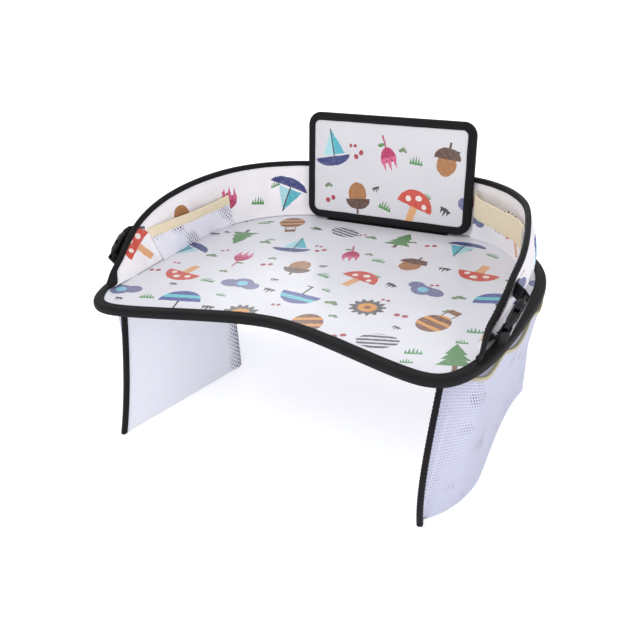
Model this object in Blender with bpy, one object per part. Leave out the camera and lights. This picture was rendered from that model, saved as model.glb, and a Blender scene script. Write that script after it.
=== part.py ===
"""Car seat travel tray: a padded play tray with soft walls, a tablet panel and mesh side pockets.

Metres, +Z up, +X to the right of the child, -Y towards the child (the hollow front edge).
The numbers below are measured from the tray's underside; the mesh pockets hang below it.
The origin of the finished product is at the bottom centre, level with the pockets' floors.
"""
import math

import bmesh
import bpy
from mathutils import Matrix, Vector

# Tray outline, right half: front hollow, front lobe, widest place, back
tray_half_width = 0.210
hollow_y = -0.087
lobe_x = 0.1607
lobe_y = -0.1234
widest_y = 0.0372
back_y = 0.2020
hollow_reach = 0.0462
lobe_inner_reach = 0.0302
lobe_outer_reach = 0.0318
side_front_reach = 0.134
side_back_reach = 0.090
back_reach = 0.1700
outline_steps = (9, 11, 15)

# Tray layers, from the underside up
fabric = 0.0008
clearance = 0.0003
board_thickness = 0.0020
foam_thickness = 0.0020
bottom_cover_z = 0.0
board_z = bottom_cover_z + fabric + clearance
foam_z = board_z + board_thickness + clearance
top_cover_z = foam_z + foam_thickness + clearance
tray_top_z = top_cover_z + fabric
insert_inset = 0.0030

# Edge binding, a folded grosgrain tape
tape = 0.0009
tray_binding_leg = 0.0105
tray_binding_bulge = 0.0034
wall_binding_leg = 0.0090
wall_binding_bulge = 0.0024
panel_binding_leg = 0.0088
panel_binding_bulge = 0.0026
skirt_binding_leg = 0.0080
skirt_binding_bulge = 0.0016
turn_steps = 3

# Side wall: a ribbon ruled between its foot line on the tray and its top line
wall_half_width = 0.1844
wall_back_y = 0.1764
wall_corner_radius = 0.115
wall_front_y = -0.0850
wall_ramp_low_y = -0.0560
wall_ramp_high_y = -0.0680
wall_core_thickness = 0.0020
wall_steps = 34
wall_top_start = Vector((0.1895, -0.0860, 0.0150))
wall_top_rise_a = Vector((0.1975, -0.0740, 0.0170))
wall_top_rise_b = Vector((0.2045, -0.0400, 0.0430))
wall_top_side = Vector((0.2040, -0.0150, 0.0546))
wall_top_bend_a = Vector((0.2040, 0.0654, 0.0880))
wall_top_bend_b = Vector((0.1589, 0.1875, 0.0676))
wall_top_back = Vector((0.0753, 0.1875, 0.0703))
wall_tail_clearance = 0.0042
wall_level_share = 0.5
wall_end_pinch = 0.47

# Inner pockets, placed by their share of the wall's half length
left_pocket_shares = (0.175, 0.500)
left_pocket_height = 0.0365
left_pocket_sag = 0.0020
left_pocket_gape = 0.0078
left_trim_height = 0.0120
right_pocket_shares = (0.400, 0.735)
right_pocket_height = 0.0470
right_pocket_sag = 0.0060
right_pocket_gape = 0.0115
right_trim_height = 0.0210
trim_tape = 0.0006
pocket_steps = 20
pocket_levels = 4

# Tablet panel
panel_width = 0.2004
panel_height = 0.1212
panel_corner_radius = 0.0150
panel_front_y = 0.1656
panel_tilt = math.radians(7.7)
panel_board_thickness = 0.0026
panel_corner_steps = 6
hinge_tape_width = 0.1500
hinge_tape_depth = 0.0085
hook_width = 0.1300
hook_height = 0.0250
hook_thickness = 0.0019
hook_share = 0.32

# Mesh side pockets
mesh = 0.0010
skirt_gap = 0.0006
skirt_bottom_z = -0.1350
skirt_front_top = Vector((0.1685, -0.0925, 0.0))
skirt_front_bottom = Vector((0.1635, -0.1300, 0.0))
skirt_rear_inner = Vector((0.1265, 0.0385, 0.0))
skirt_rear_outer_top = Vector((0.1895, 0.1050, 0.0))
skirt_rear_outer_bottom = Vector((0.1835, 0.1110, 0.0))
skirt_rim_inset = 0.0075
skirt_outer_side_bottom = Vector((0.1870, -0.0500, 0.0))
skirt_front_handle = Vector((0.0105, 0.0060, 0.0))
skirt_side_handle = Vector((0.0, 0.0350, 0.0))
skirt_tuck_handle = Vector((-0.0030, 0.0400, 0.0))
skirt_rear_handle = Vector((0.0080, 0.0450, 0.0))
skirt_parallel_run = 0.0085
skirt_rim_start_y = -0.0700
skirt_front_bows = (0.0080, -0.0015)
skirt_sag = 0.0090
skirt_bow_count = 3
skirt_levels = 6
skirt_trim_height = 0.0062
skirt_trim_start = 0.45

# Webbing straps and side-release buckles, hanging on the wall's outer face
web_width = 0.0200
web_thickness = 0.0013
buckle_width = 0.0260
buckle_thickness = 0.0085
buckle_end_thickness = 0.0050
buckle_corner = 0.0022
buckle_mouth = Vector((0.2088, -0.0310, 0.0295))
buckle_slope = math.radians(27)
buckle_lean = math.radians(19)
socket_length = 0.0240
socket_end_width = 0.0235
socket_cavity_width = 0.0210
socket_cavity_thickness = 0.0048
socket_cavity_depth = 0.0140
socket_window_near = 0.0040
socket_window_far = 0.0100
plug_length = 0.0125
plug_shoulder = 0.0035
prong_length = 0.0130
prong_thickness = 0.0040
prong_inner_half = 0.0062
prong_outer_half = 0.0090
prong_head_length = 0.0070
guide_half = 0.0022
bar_thickness = 0.0024
bar_slot = 0.0036
strap_loop_radius = 0.0010
strap_tail_length = 0.0050
upper_strap_end = ((0.0100, 0.0430), (0.0160, 0.0255))
upper_sewn_shares = (0.5, 0.75, 1.0)
lower_strap_end = ((-0.0520, 0.0086), (-0.0330, 0.0086))
lower_sewn_shares = (1.0,)
overrun = 0.0010

# From the tray's underside edge to the origin, the bottom centre of the whole product
base_shift = Vector((0, -0.03535, 0.1350))

# Colours, roughness
print_white = (0.80, 0.79, 0.83)
lining_grey = (0.62, 0.62, 0.65)
tape_black = (0.028, 0.026, 0.028)
board_grey = (0.55, 0.55, 0.57)
foam_white = (0.85, 0.85, 0.83)
trim_cream = (0.80, 0.70, 0.50)
mesh_white = (0.75, 0.75, 0.86)
plastic_black = (0.020, 0.020, 0.022)


def clear_scene():
    for item in list(bpy.data.objects):
        bpy.data.objects.remove(item, do_unlink=True)


def make_material(name, colour, roughness, metallic=0.0):
    material = bpy.data.materials.new(name)
    material.use_nodes = True
    shader = material.node_tree.nodes["Principled BSDF"]
    shader.inputs["Base Color"].default_value = (*colour, 1.0)
    shader.inputs["Roughness"].default_value = roughness
    shader.inputs["Metallic"].default_value = metallic
    material.diffuse_color = (*colour, 1.0)
    return material


def make_object(name, shape, colour, roughness):
    """Turn a bmesh into a named object whose faces all look outwards."""
    quads = [face for face in shape.faces if len(face.verts) == 4]
    bmesh.ops.triangulate(shape, faces=quads, quad_method="SHORT_EDGE")
    bmesh.ops.recalc_face_normals(shape, faces=shape.faces[:])
    data = bpy.data.meshes.new(name)
    shape.to_mesh(data)
    shape.free()
    item = bpy.data.objects.new(name, data)
    bpy.context.scene.collection.objects.link(item)
    item.data.materials.append(make_material(name, colour, roughness))
    return item


def loft(rings, closed_path):
    """Skin a row of closed rings, with capped ends unless the path closes."""
    shape = bmesh.new()
    rows = [[shape.verts.new(point) for point in ring] for ring in rings]
    count = len(rows[0])
    spans = list(zip(rows, rows[1:]))
    if closed_path:
        spans.append((rows[-1], rows[0]))
    for first, second in spans:
        for k in range(count):
            nxt = (k + 1) % count
            shape.faces.new((first[k], first[nxt], second[nxt], second[k]))
    if not closed_path:
        shape.faces.new(rows[0][::-1])
        shape.faces.new(rows[-1])
    return shape


def strip_cap(shape, ring):
    """Close a long thin ring with a row of small faces across it."""
    count = len(ring)
    for k in range(count // 2 - 1):
        shape.faces.new((ring[k], ring[k + 1], ring[count - 2 - k], ring[count - 1 - k]))


def sheet_loft(rings):
    """Skin a row of thin rings, each one side of a sheet followed by its other side reversed."""
    shape = bmesh.new()
    rows = [[shape.verts.new(point) for point in ring] for ring in rings]
    for first, second in zip(rows, rows[1:]):
        for k, vertex in enumerate(first):
            nxt = (k + 1) % len(first)
            shape.faces.new((vertex, first[nxt], second[nxt], second[k]))
    strip_cap(shape, rows[0])
    strip_cap(shape, rows[-1])
    return shape


def slab(loop, low_z, high_z):
    """A flat plate with the given outline."""
    rings = [[Vector((p.x, p.y, z)) for p in loop] for z in (low_z, high_z)]
    return loft(rings, False)


def bezier(a, b, c, d, steps):
    """Points along a cubic curve, without its last one."""
    points = []
    for k in range(steps):
        t = k / steps
        s = 1 - t
        points.append(a * s**3 + b * (3 * s * s * t) + c * (3 * s * t * t) + d * t**3)
    return points


def resample(points, count):
    """Points at even distances along a polyline."""
    lengths = [0.0]
    for first, second in zip(points, points[1:]):
        lengths.append(lengths[-1] + (second - first).length)
    result = []
    k = 0
    for n in range(count + 1):
        target = lengths[-1] * n / count
        while k < len(points) - 2 and lengths[k + 1] < target:
            k += 1
        share = (target - lengths[k]) / (lengths[k + 1] - lengths[k])
        result.append(points[k].lerp(points[k + 1], min(max(share, 0.0), 1.0)))
    return result


def channel_section(slot, wall, leg, bulge):
    """A folded tape: (depth, side) points of a U with a rounded closed end at depth 0."""
    half = slot / 2 + wall
    points = [(leg, -half)]
    for k in range(turn_steps + 1):
        angle = math.pi / 2 * k / turn_steps
        points.append((bulge - bulge * math.sin(angle), -half + bulge * (1 - math.cos(angle))))
    for k in range(turn_steps, -1, -1):
        angle = math.pi / 2 * k / turn_steps
        points.append((bulge - bulge * math.sin(angle), half - bulge * (1 - math.cos(angle))))
    points += [(leg, half), (leg, slot / 2), (wall, slot / 2), (wall, -slot / 2), (leg, -slot / 2)]
    return points


def mirrored(point):
    return Vector((-point.x, point.y, point.z))


# Tray

def tray_half_outline():
    """Right half of the tray's outline, from the hollow's middle to the back's middle."""
    hollow = Vector((0, hollow_y, 0))
    lobe = Vector((lobe_x, lobe_y, 0))
    widest = Vector((tray_half_width, widest_y, 0))
    back = Vector((0, back_y, 0))
    reach_x = Vector((1, 0, 0))
    reach_y = Vector((0, 1, 0))
    front = bezier(hollow, hollow + reach_x * hollow_reach, lobe - reach_x * lobe_inner_reach, lobe,
                   outline_steps[0])
    side = bezier(lobe, lobe + reach_x * lobe_outer_reach, widest - reach_y * side_front_reach, widest,
                  outline_steps[1])
    rear = bezier(widest, widest + reach_y * side_back_reach, back + reach_x * back_reach, back,
                  outline_steps[2])
    return front + side + rear + [back]


def outline_normals(loop):
    """Outward normals of a counter-clockwise loop."""
    normals = []
    for k, point in enumerate(loop):
        run = loop[(k + 1) % len(loop)] - loop[k - 1]
        normals.append(Vector((run.y, -run.x, 0)).normalized())
    return normals


def tray_outline(inset):
    half = tray_half_outline()
    loop = half + [mirrored(p) for p in half[-2:0:-1]]
    return [p - n * inset for p, n in zip(loop, outline_normals(loop))]


def build_tray():
    cover_edge = tray_outline(tape + clearance)
    insert_edge = tray_outline(insert_inset)
    make_object("tray_bottom_cover", slab(cover_edge, bottom_cover_z, bottom_cover_z + fabric),
                lining_grey, 0.8)
    make_object("tray_board", slab(insert_edge, board_z, board_z + board_thickness), board_grey, 0.6)
    make_object("tray_foam", slab(insert_edge, foam_z, foam_z + foam_thickness), foam_white, 0.9)
    make_object("tray_top_cover", slab(cover_edge, top_cover_z, tray_top_z), print_white, 0.35)
    build_tray_binding()


def build_tray_binding():
    slot = tray_top_z - bottom_cover_z + 2 * clearance
    middle_z = (tray_top_z + bottom_cover_z) / 2
    section = channel_section(slot, tape, tray_binding_leg, tray_binding_bulge)
    loop = tray_outline(0)
    rings = []
    for point, normal in zip(loop, outline_normals(loop)):
        rings.append([point - normal * depth + Vector((0, 0, middle_z + side)) for depth, side in section])
    make_object("tray_binding", loft(rings, True), tape_black, 0.75)


# Side wall

def wall_foot_line():
    """Right half of the wall's inner foot; its front end climbs on to the tray's binding."""
    side_end = wall_back_y - wall_corner_radius
    centre = Vector((wall_half_width - wall_corner_radius, side_end, 0))
    ramp = Vector((0, 0, tape + clearance))
    points = [Vector((wall_half_width, wall_front_y, 0)) + ramp,
              Vector((wall_half_width, wall_ramp_high_y, 0)) + ramp,
              Vector((wall_half_width, wall_ramp_low_y, 0))]
    arc_steps = 40
    for k in range(arc_steps + 1):
        angle = math.pi / 2 * k / arc_steps
        points.append(centre + Vector((math.cos(angle), math.sin(angle), 0)) * wall_corner_radius)
    points.append(Vector((0, wall_back_y, 0)))
    lift = Vector((0, 0, tray_top_z + clearance))
    return [p + lift for p in points]


def wall_top_line():
    """Right half of the wall's top edge, rising from the front end and flat behind the panel."""
    curve_steps = 24
    points = bezier(wall_top_start, wall_top_rise_a, wall_top_rise_b, wall_top_side, curve_steps)
    points += bezier(wall_top_side, wall_top_bend_a, wall_top_bend_b, wall_top_back, curve_steps)
    points += [wall_top_back, Vector((0, wall_top_back.y, wall_top_back.z))]
    return points


class WallStation:
    """One upright line of the wall's inner face, and the directions that its layers follow."""

    def __init__(self, foot, top, along):
        self.foot = foot
        self.top = top
        self.up = (top - foot).normalized()
        self.height = (top - foot).length
        outward = Vector((along.y, -along.x, 0)).normalized()
        self.out = (outward - self.up * outward.dot(self.up)).normalized()

    def at(self, offset, height):
        """A point offset outwards and a distance up along the wall."""
        return self.foot + self.out * offset + self.up * height

    def on_tray(self, offset):
        """The foot point of a layer, cut level with the wall's foot."""
        shifted = self.foot + self.out * offset
        return shifted + self.up * ((self.foot.z - shifted.z) / self.up.z)


def wall_stations(steps, first_share=0.0, last_share=1.0, side=1):
    """Stations between two shares of the half wall; side is 1 for right and -1 for left."""
    fine = 240
    feet = resample(wall_foot_line(), fine)
    tops = resample(wall_top_line(), fine)
    stations = []
    for k in range(steps + 1):
        place = (first_share + (last_share - first_share) * k / steps) * fine
        index = min(int(place), fine - 1)
        share = place - index
        foot = feet[index].lerp(feet[index + 1], share)
        top = tops[index].lerp(tops[index + 1], share)
        along = feet[index + 1] - feet[index]
        if side < 0:
            foot = mirrored(foot)
            top = mirrored(top)
            along = -mirrored(along)
        stations.append(WallStation(foot, top, along))
    return stations


def whole_wall():
    right = wall_stations(wall_steps)
    left = wall_stations(wall_steps, side=-1)
    return right + left[-2::-1]


def wall_layer(stations, inner, outer, top_margin):
    """A layer of the wall between two offsets from its inner face."""
    rings = []
    for station in stations:
        height = station.height - top_margin
        bound = max(station.height - wall_binding_leg, height * wall_level_share)
        heights = (bound * wall_level_share, bound, height)
        outer_side = [station.at(outer, h) for h in heights]
        inner_side = [station.at(inner, h) for h in heights]
        rings.append([station.on_tray(outer)] + outer_side + inner_side[::-1] + [station.on_tray(inner)])
    return sheet_loft(rings)


def wall_thickness():
    return 2 * fabric + wall_core_thickness + 2 * clearance


def build_wall():
    stations = whole_wall()
    margin = tape + clearance
    core_inner = fabric + clearance
    core_outer = core_inner + wall_core_thickness
    make_object("wall_inner_cover", wall_layer(stations, 0, fabric, margin), print_white, 0.5)
    make_object("wall_core", wall_layer(stations, core_inner, core_outer, margin), foam_white, 0.8)
    make_object("wall_outer_cover", wall_layer(stations, core_outer + clearance, wall_thickness(), margin),
                print_white, 0.5)
    build_wall_binding(stations)


def build_wall_binding(stations):
    """The folded tape over the wall's top edge, closed over the wall's two front ends."""
    slot = wall_thickness() + 2 * clearance
    rings = []
    for station in stations:
        leg = min(wall_binding_leg, station.height - wall_tail_clearance)
        section = channel_section(slot, tape, leg, wall_binding_bulge)
        rings.append([station.at(wall_thickness() / 2 + side, station.height - depth)
                      for depth, side in section])
    for end in (0, -1):
        ahead = (stations[end].foot - stations[1 if end == 0 else -2].foot).normalized()
        near = [point + ahead * clearance for point in rings[end]]
        closed = list(near)
        for k in range(1, 3):
            closed[-k] = near[-k].lerp(near[-5 + k], wall_end_pinch)
            closed[-5 + k] = near[-5 + k].lerp(near[-k], wall_end_pinch)
        far = [point + ahead * tape for point in closed]
        rings = [far, near] + rings if end == 0 else rings + [near, far]
    make_object("wall_binding", loft(rings, False), tape_black, 0.75)


# Pockets on the inside of the wall

class InnerPocket:
    """A fabric sheet on the wall's inner face that gapes open at its top."""

    def __init__(self, name, side, shares, height, sag, gape, trim_height):
        self.name = name
        self.height = height
        self.sag = sag
        self.gape = gape
        self.trim_height = trim_height
        self.stations = wall_stations(pocket_steps, shares[0], shares[1], side)

    def top(self, share):
        return self.height - self.sag * math.sin(math.pi * share)

    def surface(self, k, height, offset):
        """A point on the sheet's wall side, moved away from the wall by offset."""
        share = k / pocket_steps
        rise = min(height / self.top(share), 1.0)
        seam_gap = trim_tape + 3 * clearance
        swell = math.sin(math.pi * share) ** 0.7 * self.gape * rise
        return self.stations[k].at(-(seam_gap + swell + offset), height)

    def foot(self, k, offset):
        """The sheet's bottom edge, level with the wall's foot."""
        low = self.surface(k, 0, offset)
        up = self.stations[k].up
        return low + up * ((self.stations[k].foot.z - low.z) / up.z)

    def build_sheet(self):
        rings = []
        for k in range(pocket_steps + 1):
            top = self.top(k / pocket_steps) - clearance
            heights = [top * (level + 1) / pocket_levels for level in range(pocket_levels)]
            wall_side = [self.foot(k, 0)] + [self.surface(k, h, 0) for h in heights]
            room_side = [self.foot(k, fabric)] + [self.surface(k, h, fabric) for h in heights]
            rings.append(wall_side + room_side[::-1])
        make_object(self.name, sheet_loft(rings), print_white, 0.5)

    def build_trim(self):
        outer = clearance + trim_tape
        rings = []
        for k in range(pocket_steps + 1):
            top = self.top(k / pocket_steps)
            low = top - self.trim_height
            middle = top - self.trim_height / 2
            rings.append([
                self.surface(k, low, fabric + outer), self.surface(k, middle, fabric + outer),
                self.surface(k, top, fabric + outer), self.surface(k, top + trim_tape, fabric),
                self.surface(k, top + trim_tape, 0), self.surface(k, top, -outer),
                self.surface(k, middle, -outer), self.surface(k, low, -outer),
                self.surface(k, low, -clearance), self.surface(k, middle, -clearance),
                self.surface(k, top, -clearance), self.surface(k, top, fabric + clearance),
                self.surface(k, middle, fabric + clearance), self.surface(k, low, fabric + clearance)])
        make_object(self.name + "_trim", loft(rings, False), trim_cream, 0.8)


def build_inner_pockets():
    pockets = (
        InnerPocket("left_pocket", -1, left_pocket_shares, left_pocket_height, left_pocket_sag,
                    left_pocket_gape, left_trim_height),
        InnerPocket("right_pocket", 1, right_pocket_shares, right_pocket_height, right_pocket_sag,
                    right_pocket_gape, right_trim_height))
    for pocket in pockets:
        pocket.build_sheet()
        pocket.build_trim()


# Tablet panel

def rounded_rectangle(width, height, radius, inset):
    """Counter-clockwise (x, z) outline with its bottom edge at z = 0 before the inset."""
    centres = ((width / 2 - radius, radius, -math.pi / 2), (width / 2 - radius, height - radius, 0),
               (-width / 2 + radius, height - radius, math.pi / 2), (-width / 2 + radius, radius, math.pi))
    points = []
    for x, z, start in centres:
        for k in range(panel_corner_steps + 1):
            angle = start + math.pi / 2 * k / panel_corner_steps
            turn = radius - inset
            points.append(Vector((x + turn * math.cos(angle), 0, z + turn * math.sin(angle))))
    return points


def panel_stack():
    return 2 * fabric + panel_board_thickness + 2 * clearance


def panel_thickness():
    return panel_stack() + 2 * (clearance + tape)


def panel_hinge():
    """The panel's bottom front edge; the rear edge rests on the fabric hinge."""
    rear_drop = panel_thickness() * math.sin(panel_tilt)
    return Vector((0, panel_front_y, tray_top_z + fabric + 2 * clearance + rear_drop))


def panel_plate(front, back, inset):
    """A plate of the panel, between two depths behind its front face."""
    outline = rounded_rectangle(panel_width, panel_height, panel_corner_radius, inset)
    return loft([[p + Vector((0, depth, 0)) for p in outline] for depth in (front, back)], False)


def stand_panel(item):
    """Lean a piece modelled upright at the origin back about the hinge edge."""
    item.location = panel_hinge()
    item.rotation_euler = (-panel_tilt, 0, 0)


def build_panel():
    inset = tape + clearance
    front = tape + clearance
    board_front = front + fabric + clearance
    board_back = board_front + panel_board_thickness
    back = board_back + clearance
    pieces = [
        make_object("panel_front_cover", panel_plate(front, front + fabric, inset), print_white, 0.35),
        make_object("panel_board", panel_plate(board_front, board_back, insert_inset), board_grey, 0.6),
        make_object("panel_back_cover", panel_plate(back, back + fabric, inset), print_white, 0.5),
        build_panel_binding(), build_hook_strip(back + fabric)]
    for piece in pieces:
        stand_panel(piece)
    build_loop_strip()
    build_hinge_tape()


def build_panel_binding():
    slot = panel_stack() + 2 * clearance
    section = channel_section(slot, tape, panel_binding_leg, panel_binding_bulge)
    middle = Vector((0, panel_thickness() / 2, 0))
    edge = rounded_rectangle(panel_width, panel_height, panel_corner_radius, 0)
    inner = rounded_rectangle(panel_width, panel_height, panel_corner_radius, panel_corner_radius / 2)
    rings = []
    for outer_point, inner_point in zip(edge, inner):
        inward = (inner_point - outer_point).normalized()
        rings.append([outer_point + inward * depth + middle + Vector((0, side, 0)) for depth, side in section])
    return make_object("panel_binding", loft(rings, True), tape_black, 0.75)


def hook_middle():
    """Height of the hook and loop strips above the hinge edge, along the panel."""
    return panel_height * hook_share


def build_hook_strip(back):
    low = hook_middle() - hook_height / 2
    outline = [Vector((x, 0, z)) for x, z in (
        (-hook_width / 2, low), (hook_width / 2, low),
        (hook_width / 2, low + hook_height), (-hook_width / 2, low + hook_height))]
    front = back + clearance
    plate = loft([[p + Vector((0, y, 0)) for p in outline] for y in (front, front + hook_thickness)], False)
    return make_object("panel_hook_strip", plate, tape_black, 0.95)


def build_loop_strip():
    """The loop strip on the wall's flat back, facing the hook strip."""
    low = hook_middle() - hook_height / 2
    rings = []
    for side in (1, -1):
        station = WallStation(
            Vector((side * hook_width / 2, wall_back_y, tray_top_z + clearance)),
            Vector((side * hook_width / 2, wall_top_back.y, wall_top_back.z)), Vector((-1, 0, 0)))
        rings.append([station.at(-clearance, low), station.at(-clearance, low + hook_height),
                      station.at(-clearance - hook_thickness, low + hook_height),
                      station.at(-clearance - hook_thickness, low)])
    make_object("wall_loop_strip", loft(rings, False), tape_black, 0.95)


def build_hinge_tape():
    """Flat tape under the panel, sewn at the wall's foot and at the panel's front edge."""
    low_z = tray_top_z + clearance
    near = panel_front_y
    far = near + hinge_tape_depth
    corners = [Vector((x, y, 0)) for x, y in (
        (-hinge_tape_width / 2, near), (hinge_tape_width / 2, near),
        (hinge_tape_width / 2, far), (-hinge_tape_width / 2, far))]
    make_object("panel_hinge_tape", slab(corners, low_z, low_z + fabric), tape_black, 0.75)


# Mesh pockets below the tray

def hang_z():
    """Height of what is sewn under the tray's bottom cover."""
    return bottom_cover_z - tape - 2 * clearance


def skirt_run(front):
    """Direction of the inner panel, from a point of its front edge to its rear edge."""
    return (skirt_rear_inner - front).normalized()


def skirt_line(start, curve, steps):
    """A straight lead beside the inner panel, then a curve resampled at even steps."""
    lead = start + skirt_run(start) * skirt_parallel_run
    return [start] + resample([lead] + curve, steps - 1)


def skirt_top_line(steps):
    """Top edge of the right outer sheet: it bends out to the tray's rim and follows it."""
    rim = [p for p in tray_outline(skirt_rim_inset) if p.x > lobe_x]
    rim = [p for p in rim if skirt_rim_start_y < p.y < skirt_rear_outer_top.y - skirt_parallel_run]
    ahead = skirt_run(skirt_front_top) * skirt_parallel_run
    lead = skirt_front_top + ahead
    along = (rim[1] - rim[0]).normalized() * skirt_parallel_run
    bend = bezier(lead, lead + ahead / 2, rim[0] - along, rim[0], steps)
    return skirt_line(skirt_front_top, bend[1:] + rim + [skirt_rear_outer_top], steps)


def skirt_bottom_line(steps):
    """Bottom edge of the right outer sheet, a soft S from the front to the rear corner."""
    lead = skirt_front_bottom + skirt_run(skirt_front_bottom) * skirt_parallel_run
    side = skirt_outer_side_bottom
    rear = skirt_rear_outer_bottom
    bend = bezier(lead, lead + skirt_front_handle, side - skirt_side_handle, side, steps)
    bend += bezier(side, side + skirt_tuck_handle, rear - skirt_rear_handle, rear, steps)
    return skirt_line(skirt_front_bottom, bend[1:] + [rear], steps)


class SkirtPocket:
    """One mesh pocket: a straight inner panel and an outer sheet that goes round to its rear edge."""

    side_steps = 20
    rear_steps = 5

    def __init__(self, name, side, front_bow):
        self.name = name
        self.side = side
        self.front_bow = front_bow
        self.tops = skirt_top_line(self.side_steps)
        self.bottoms = skirt_bottom_line(self.side_steps)
        inner_gap = mesh + skirt_gap
        rear_end = skirt_rear_inner + Vector((inner_gap, 0, 0))
        rear_top = skirt_rear_outer_top
        rear_bottom = skirt_rear_outer_bottom
        for k in range(1, self.rear_steps + 1):
            share = k / self.rear_steps
            self.tops.append(rear_top.lerp(rear_end, share))
            self.bottoms.append(rear_bottom.lerp(rear_end, share))
        for line in (self.tops, self.bottoms):
            run = (line[1] - line[0]).normalized()
            beside = Vector((run.y, -run.x, 0)) * inner_gap
            line[0] = line[0] + beside
            line[1] = line[1] + beside

    def place(self, point):
        return point if self.side > 0 else mirrored(point)

    def bow(self, level_share, fade):
        """How the hanging front edge bows forwards between its ends, fading along the sheet."""
        run = skirt_run(skirt_front_bottom.lerp(skirt_front_top, level_share))
        return -run * self.front_bow * 4 * level_share * (1 - level_share) * max(fade, 0.0)

    def rim_sag(self, k):
        """The mouth hangs below the rim in bows, and the rear edge reaches the tray."""
        if k >= self.side_steps:
            return 0.0
        share = k / self.side_steps
        return trim_tape + clearance + skirt_sag * math.sin(skirt_bow_count * math.pi * share) ** 2

    def top_z(self, k):
        return hang_z() - self.rim_sag(k)

    def sheet_point(self, k, level_share, offset):
        """A point on the outer sheet: level 0 is the bottom edge, 1 the top edge."""
        count = len(self.tops)
        low = self.bottoms[k]
        high = self.tops[k]
        z = skirt_bottom_z + (self.top_z(k) - skirt_bottom_z) * level_share
        before = self.tops[max(k - 1, 0)] + self.bottoms[max(k - 1, 0)]
        after = self.tops[min(k + 1, count - 1)] + self.bottoms[min(k + 1, count - 1)]
        run = after - before
        outward = Vector((run.y, -run.x, 0)).normalized()
        point = low.lerp(high, level_share) + outward * offset + self.bow(level_share, 1 - k / skirt_levels)
        return self.place(Vector((point.x, point.y, z)))

    def build_pocket(self):
        """The outer sheet and the floor that joins it to the foot of the inner panel."""
        shape = bmesh.new()
        count = len(self.tops)
        levels = [level / skirt_levels for level in range(skirt_levels + 1)]
        outer = []
        inner = []
        for k in range(count):
            outer.append([shape.verts.new(self.sheet_point(k, share, 0)) for share in levels])
            column = [self.sheet_point(k, share, -mesh) for share in levels]
            column[0].z = skirt_bottom_z + mesh
            inner.append([shape.verts.new(point) for point in column])
        for k in range(count - 1):
            for level in range(skirt_levels):
                for grid in (outer, inner):
                    shape.faces.new((grid[k][level], grid[k + 1][level],
                                     grid[k + 1][level + 1], grid[k][level + 1]))
            shape.faces.new((outer[k][-1], outer[k + 1][-1], inner[k + 1][-1], inner[k][-1]))
        for k in (0, -1):
            strip_cap(shape, outer[k] + inner[k][::-1])
        shape.faces.new([column[0] for column in outer])
        shape.faces.new([column[0] for column in inner])
        shape.faces.new((outer[0][0], outer[-1][0], inner[-1][0], inner[0][0]))
        make_object(self.name + "_mesh_pocket", shape, mesh_white, 0.8)

    def build_panel(self):
        rear = skirt_rear_inner
        thick = Vector((-mesh, 0, 0))
        rings = []
        for share in (0, 0.1, 0.3, 0.6, 1):
            column = []
            for level in range(skirt_levels + 1):
                level_share = level / skirt_levels
                front = skirt_front_bottom.lerp(skirt_front_top, level_share)
                point = front.lerp(rear, share) + self.bow(level_share, 1 - share * 2)
                point.z = skirt_bottom_z + (hang_z() - skirt_bottom_z) * level_share
                column.append(point)
            back = [point + thick for point in column[::-1]]
            rings.append([self.place(point) for point in column + back])
        make_object(self.name + "_mesh_panel", sheet_loft(rings), mesh_white, 0.8)

    def build_trim(self):
        rings = []
        for k in range(1, self.side_steps):
            section = channel_section(mesh + 3 * clearance, trim_tape, skirt_trim_height, trim_tape)
            top = self.sheet_point(k, 1, -mesh / 2)
            low = self.sheet_point(k, 1 - 1 / skirt_levels, -mesh / 2)
            down = (low - top).normalized()
            out = (self.sheet_point(k, 1, mesh) - self.sheet_point(k, 1, 0)).normalized()
            lift = trim_tape + clearance
            rings.append([top + down * (depth - lift) + out * side for depth, side in section])
        rings[0] = [first.lerp(second, skirt_trim_start) for first, second in zip(rings[0], rings[1])]
        make_object(self.name + "_mesh_pocket_trim", loft(rings, False), trim_cream, 0.8)

    def build_binding(self):
        """The folded tape over the front edges of both mesh layers."""
        slot = 2 * mesh + skirt_gap + 3 * clearance
        section = channel_section(slot, tape, skirt_binding_leg, skirt_binding_bulge)
        rings = []
        for level in range(skirt_levels + 1):
            share = level / skirt_levels
            point = skirt_front_bottom.lerp(skirt_front_top, share)
            run = skirt_run(point)
            outward = Vector((run.y, -run.x, 0))
            base = point - run * (tape + 2 * clearance) + outward * skirt_gap / 2 + self.bow(share, 1)
            base.z = skirt_bottom_z + (hang_z() - skirt_bottom_z) * share
            rings.append([self.place(base + run * depth + outward * side) for depth, side in section])
        make_object(self.name + "_skirt_binding", loft(rings, False), tape_black, 0.75)

    def build(self):
        self.build_pocket()
        self.build_panel()
        self.build_trim()
        self.build_binding()


def build_skirts():
    for name, side, front_bow in (("right", 1, skirt_front_bows[0]), ("left", -1, skirt_front_bows[1])):
        SkirtPocket(name, side, front_bow).build()


# Straps and side-release buckles

def rounded_section(width, thickness, level):
    """Chamfered rectangle across a buckle half, at a distance along it."""
    w = width / 2
    t = thickness / 2
    c = min(buckle_corner, t - clearance)
    return [Vector((x, y, level)) for x, y in (
        (w, -t + c), (w, t - c), (w - c, t), (-w + c, t), (-w, t - c), (-w, -t + c), (-w + c, -t), (w - c, -t))]


def box(low, high):
    """A box between two corners."""
    corners = [Vector((low.x, low.y, 0)), Vector((high.x, low.y, 0)),
               Vector((high.x, high.y, 0)), Vector((low.x, high.y, 0))]
    return slab(corners, low.z, high.z)


def add_boolean(item, tool, operation):
    tool.hide_render = True
    tool.display_type = "WIRE"
    modifier = item.modifiers.new(tool.name, "BOOLEAN")
    modifier.operation = operation
    modifier.object = tool


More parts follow.
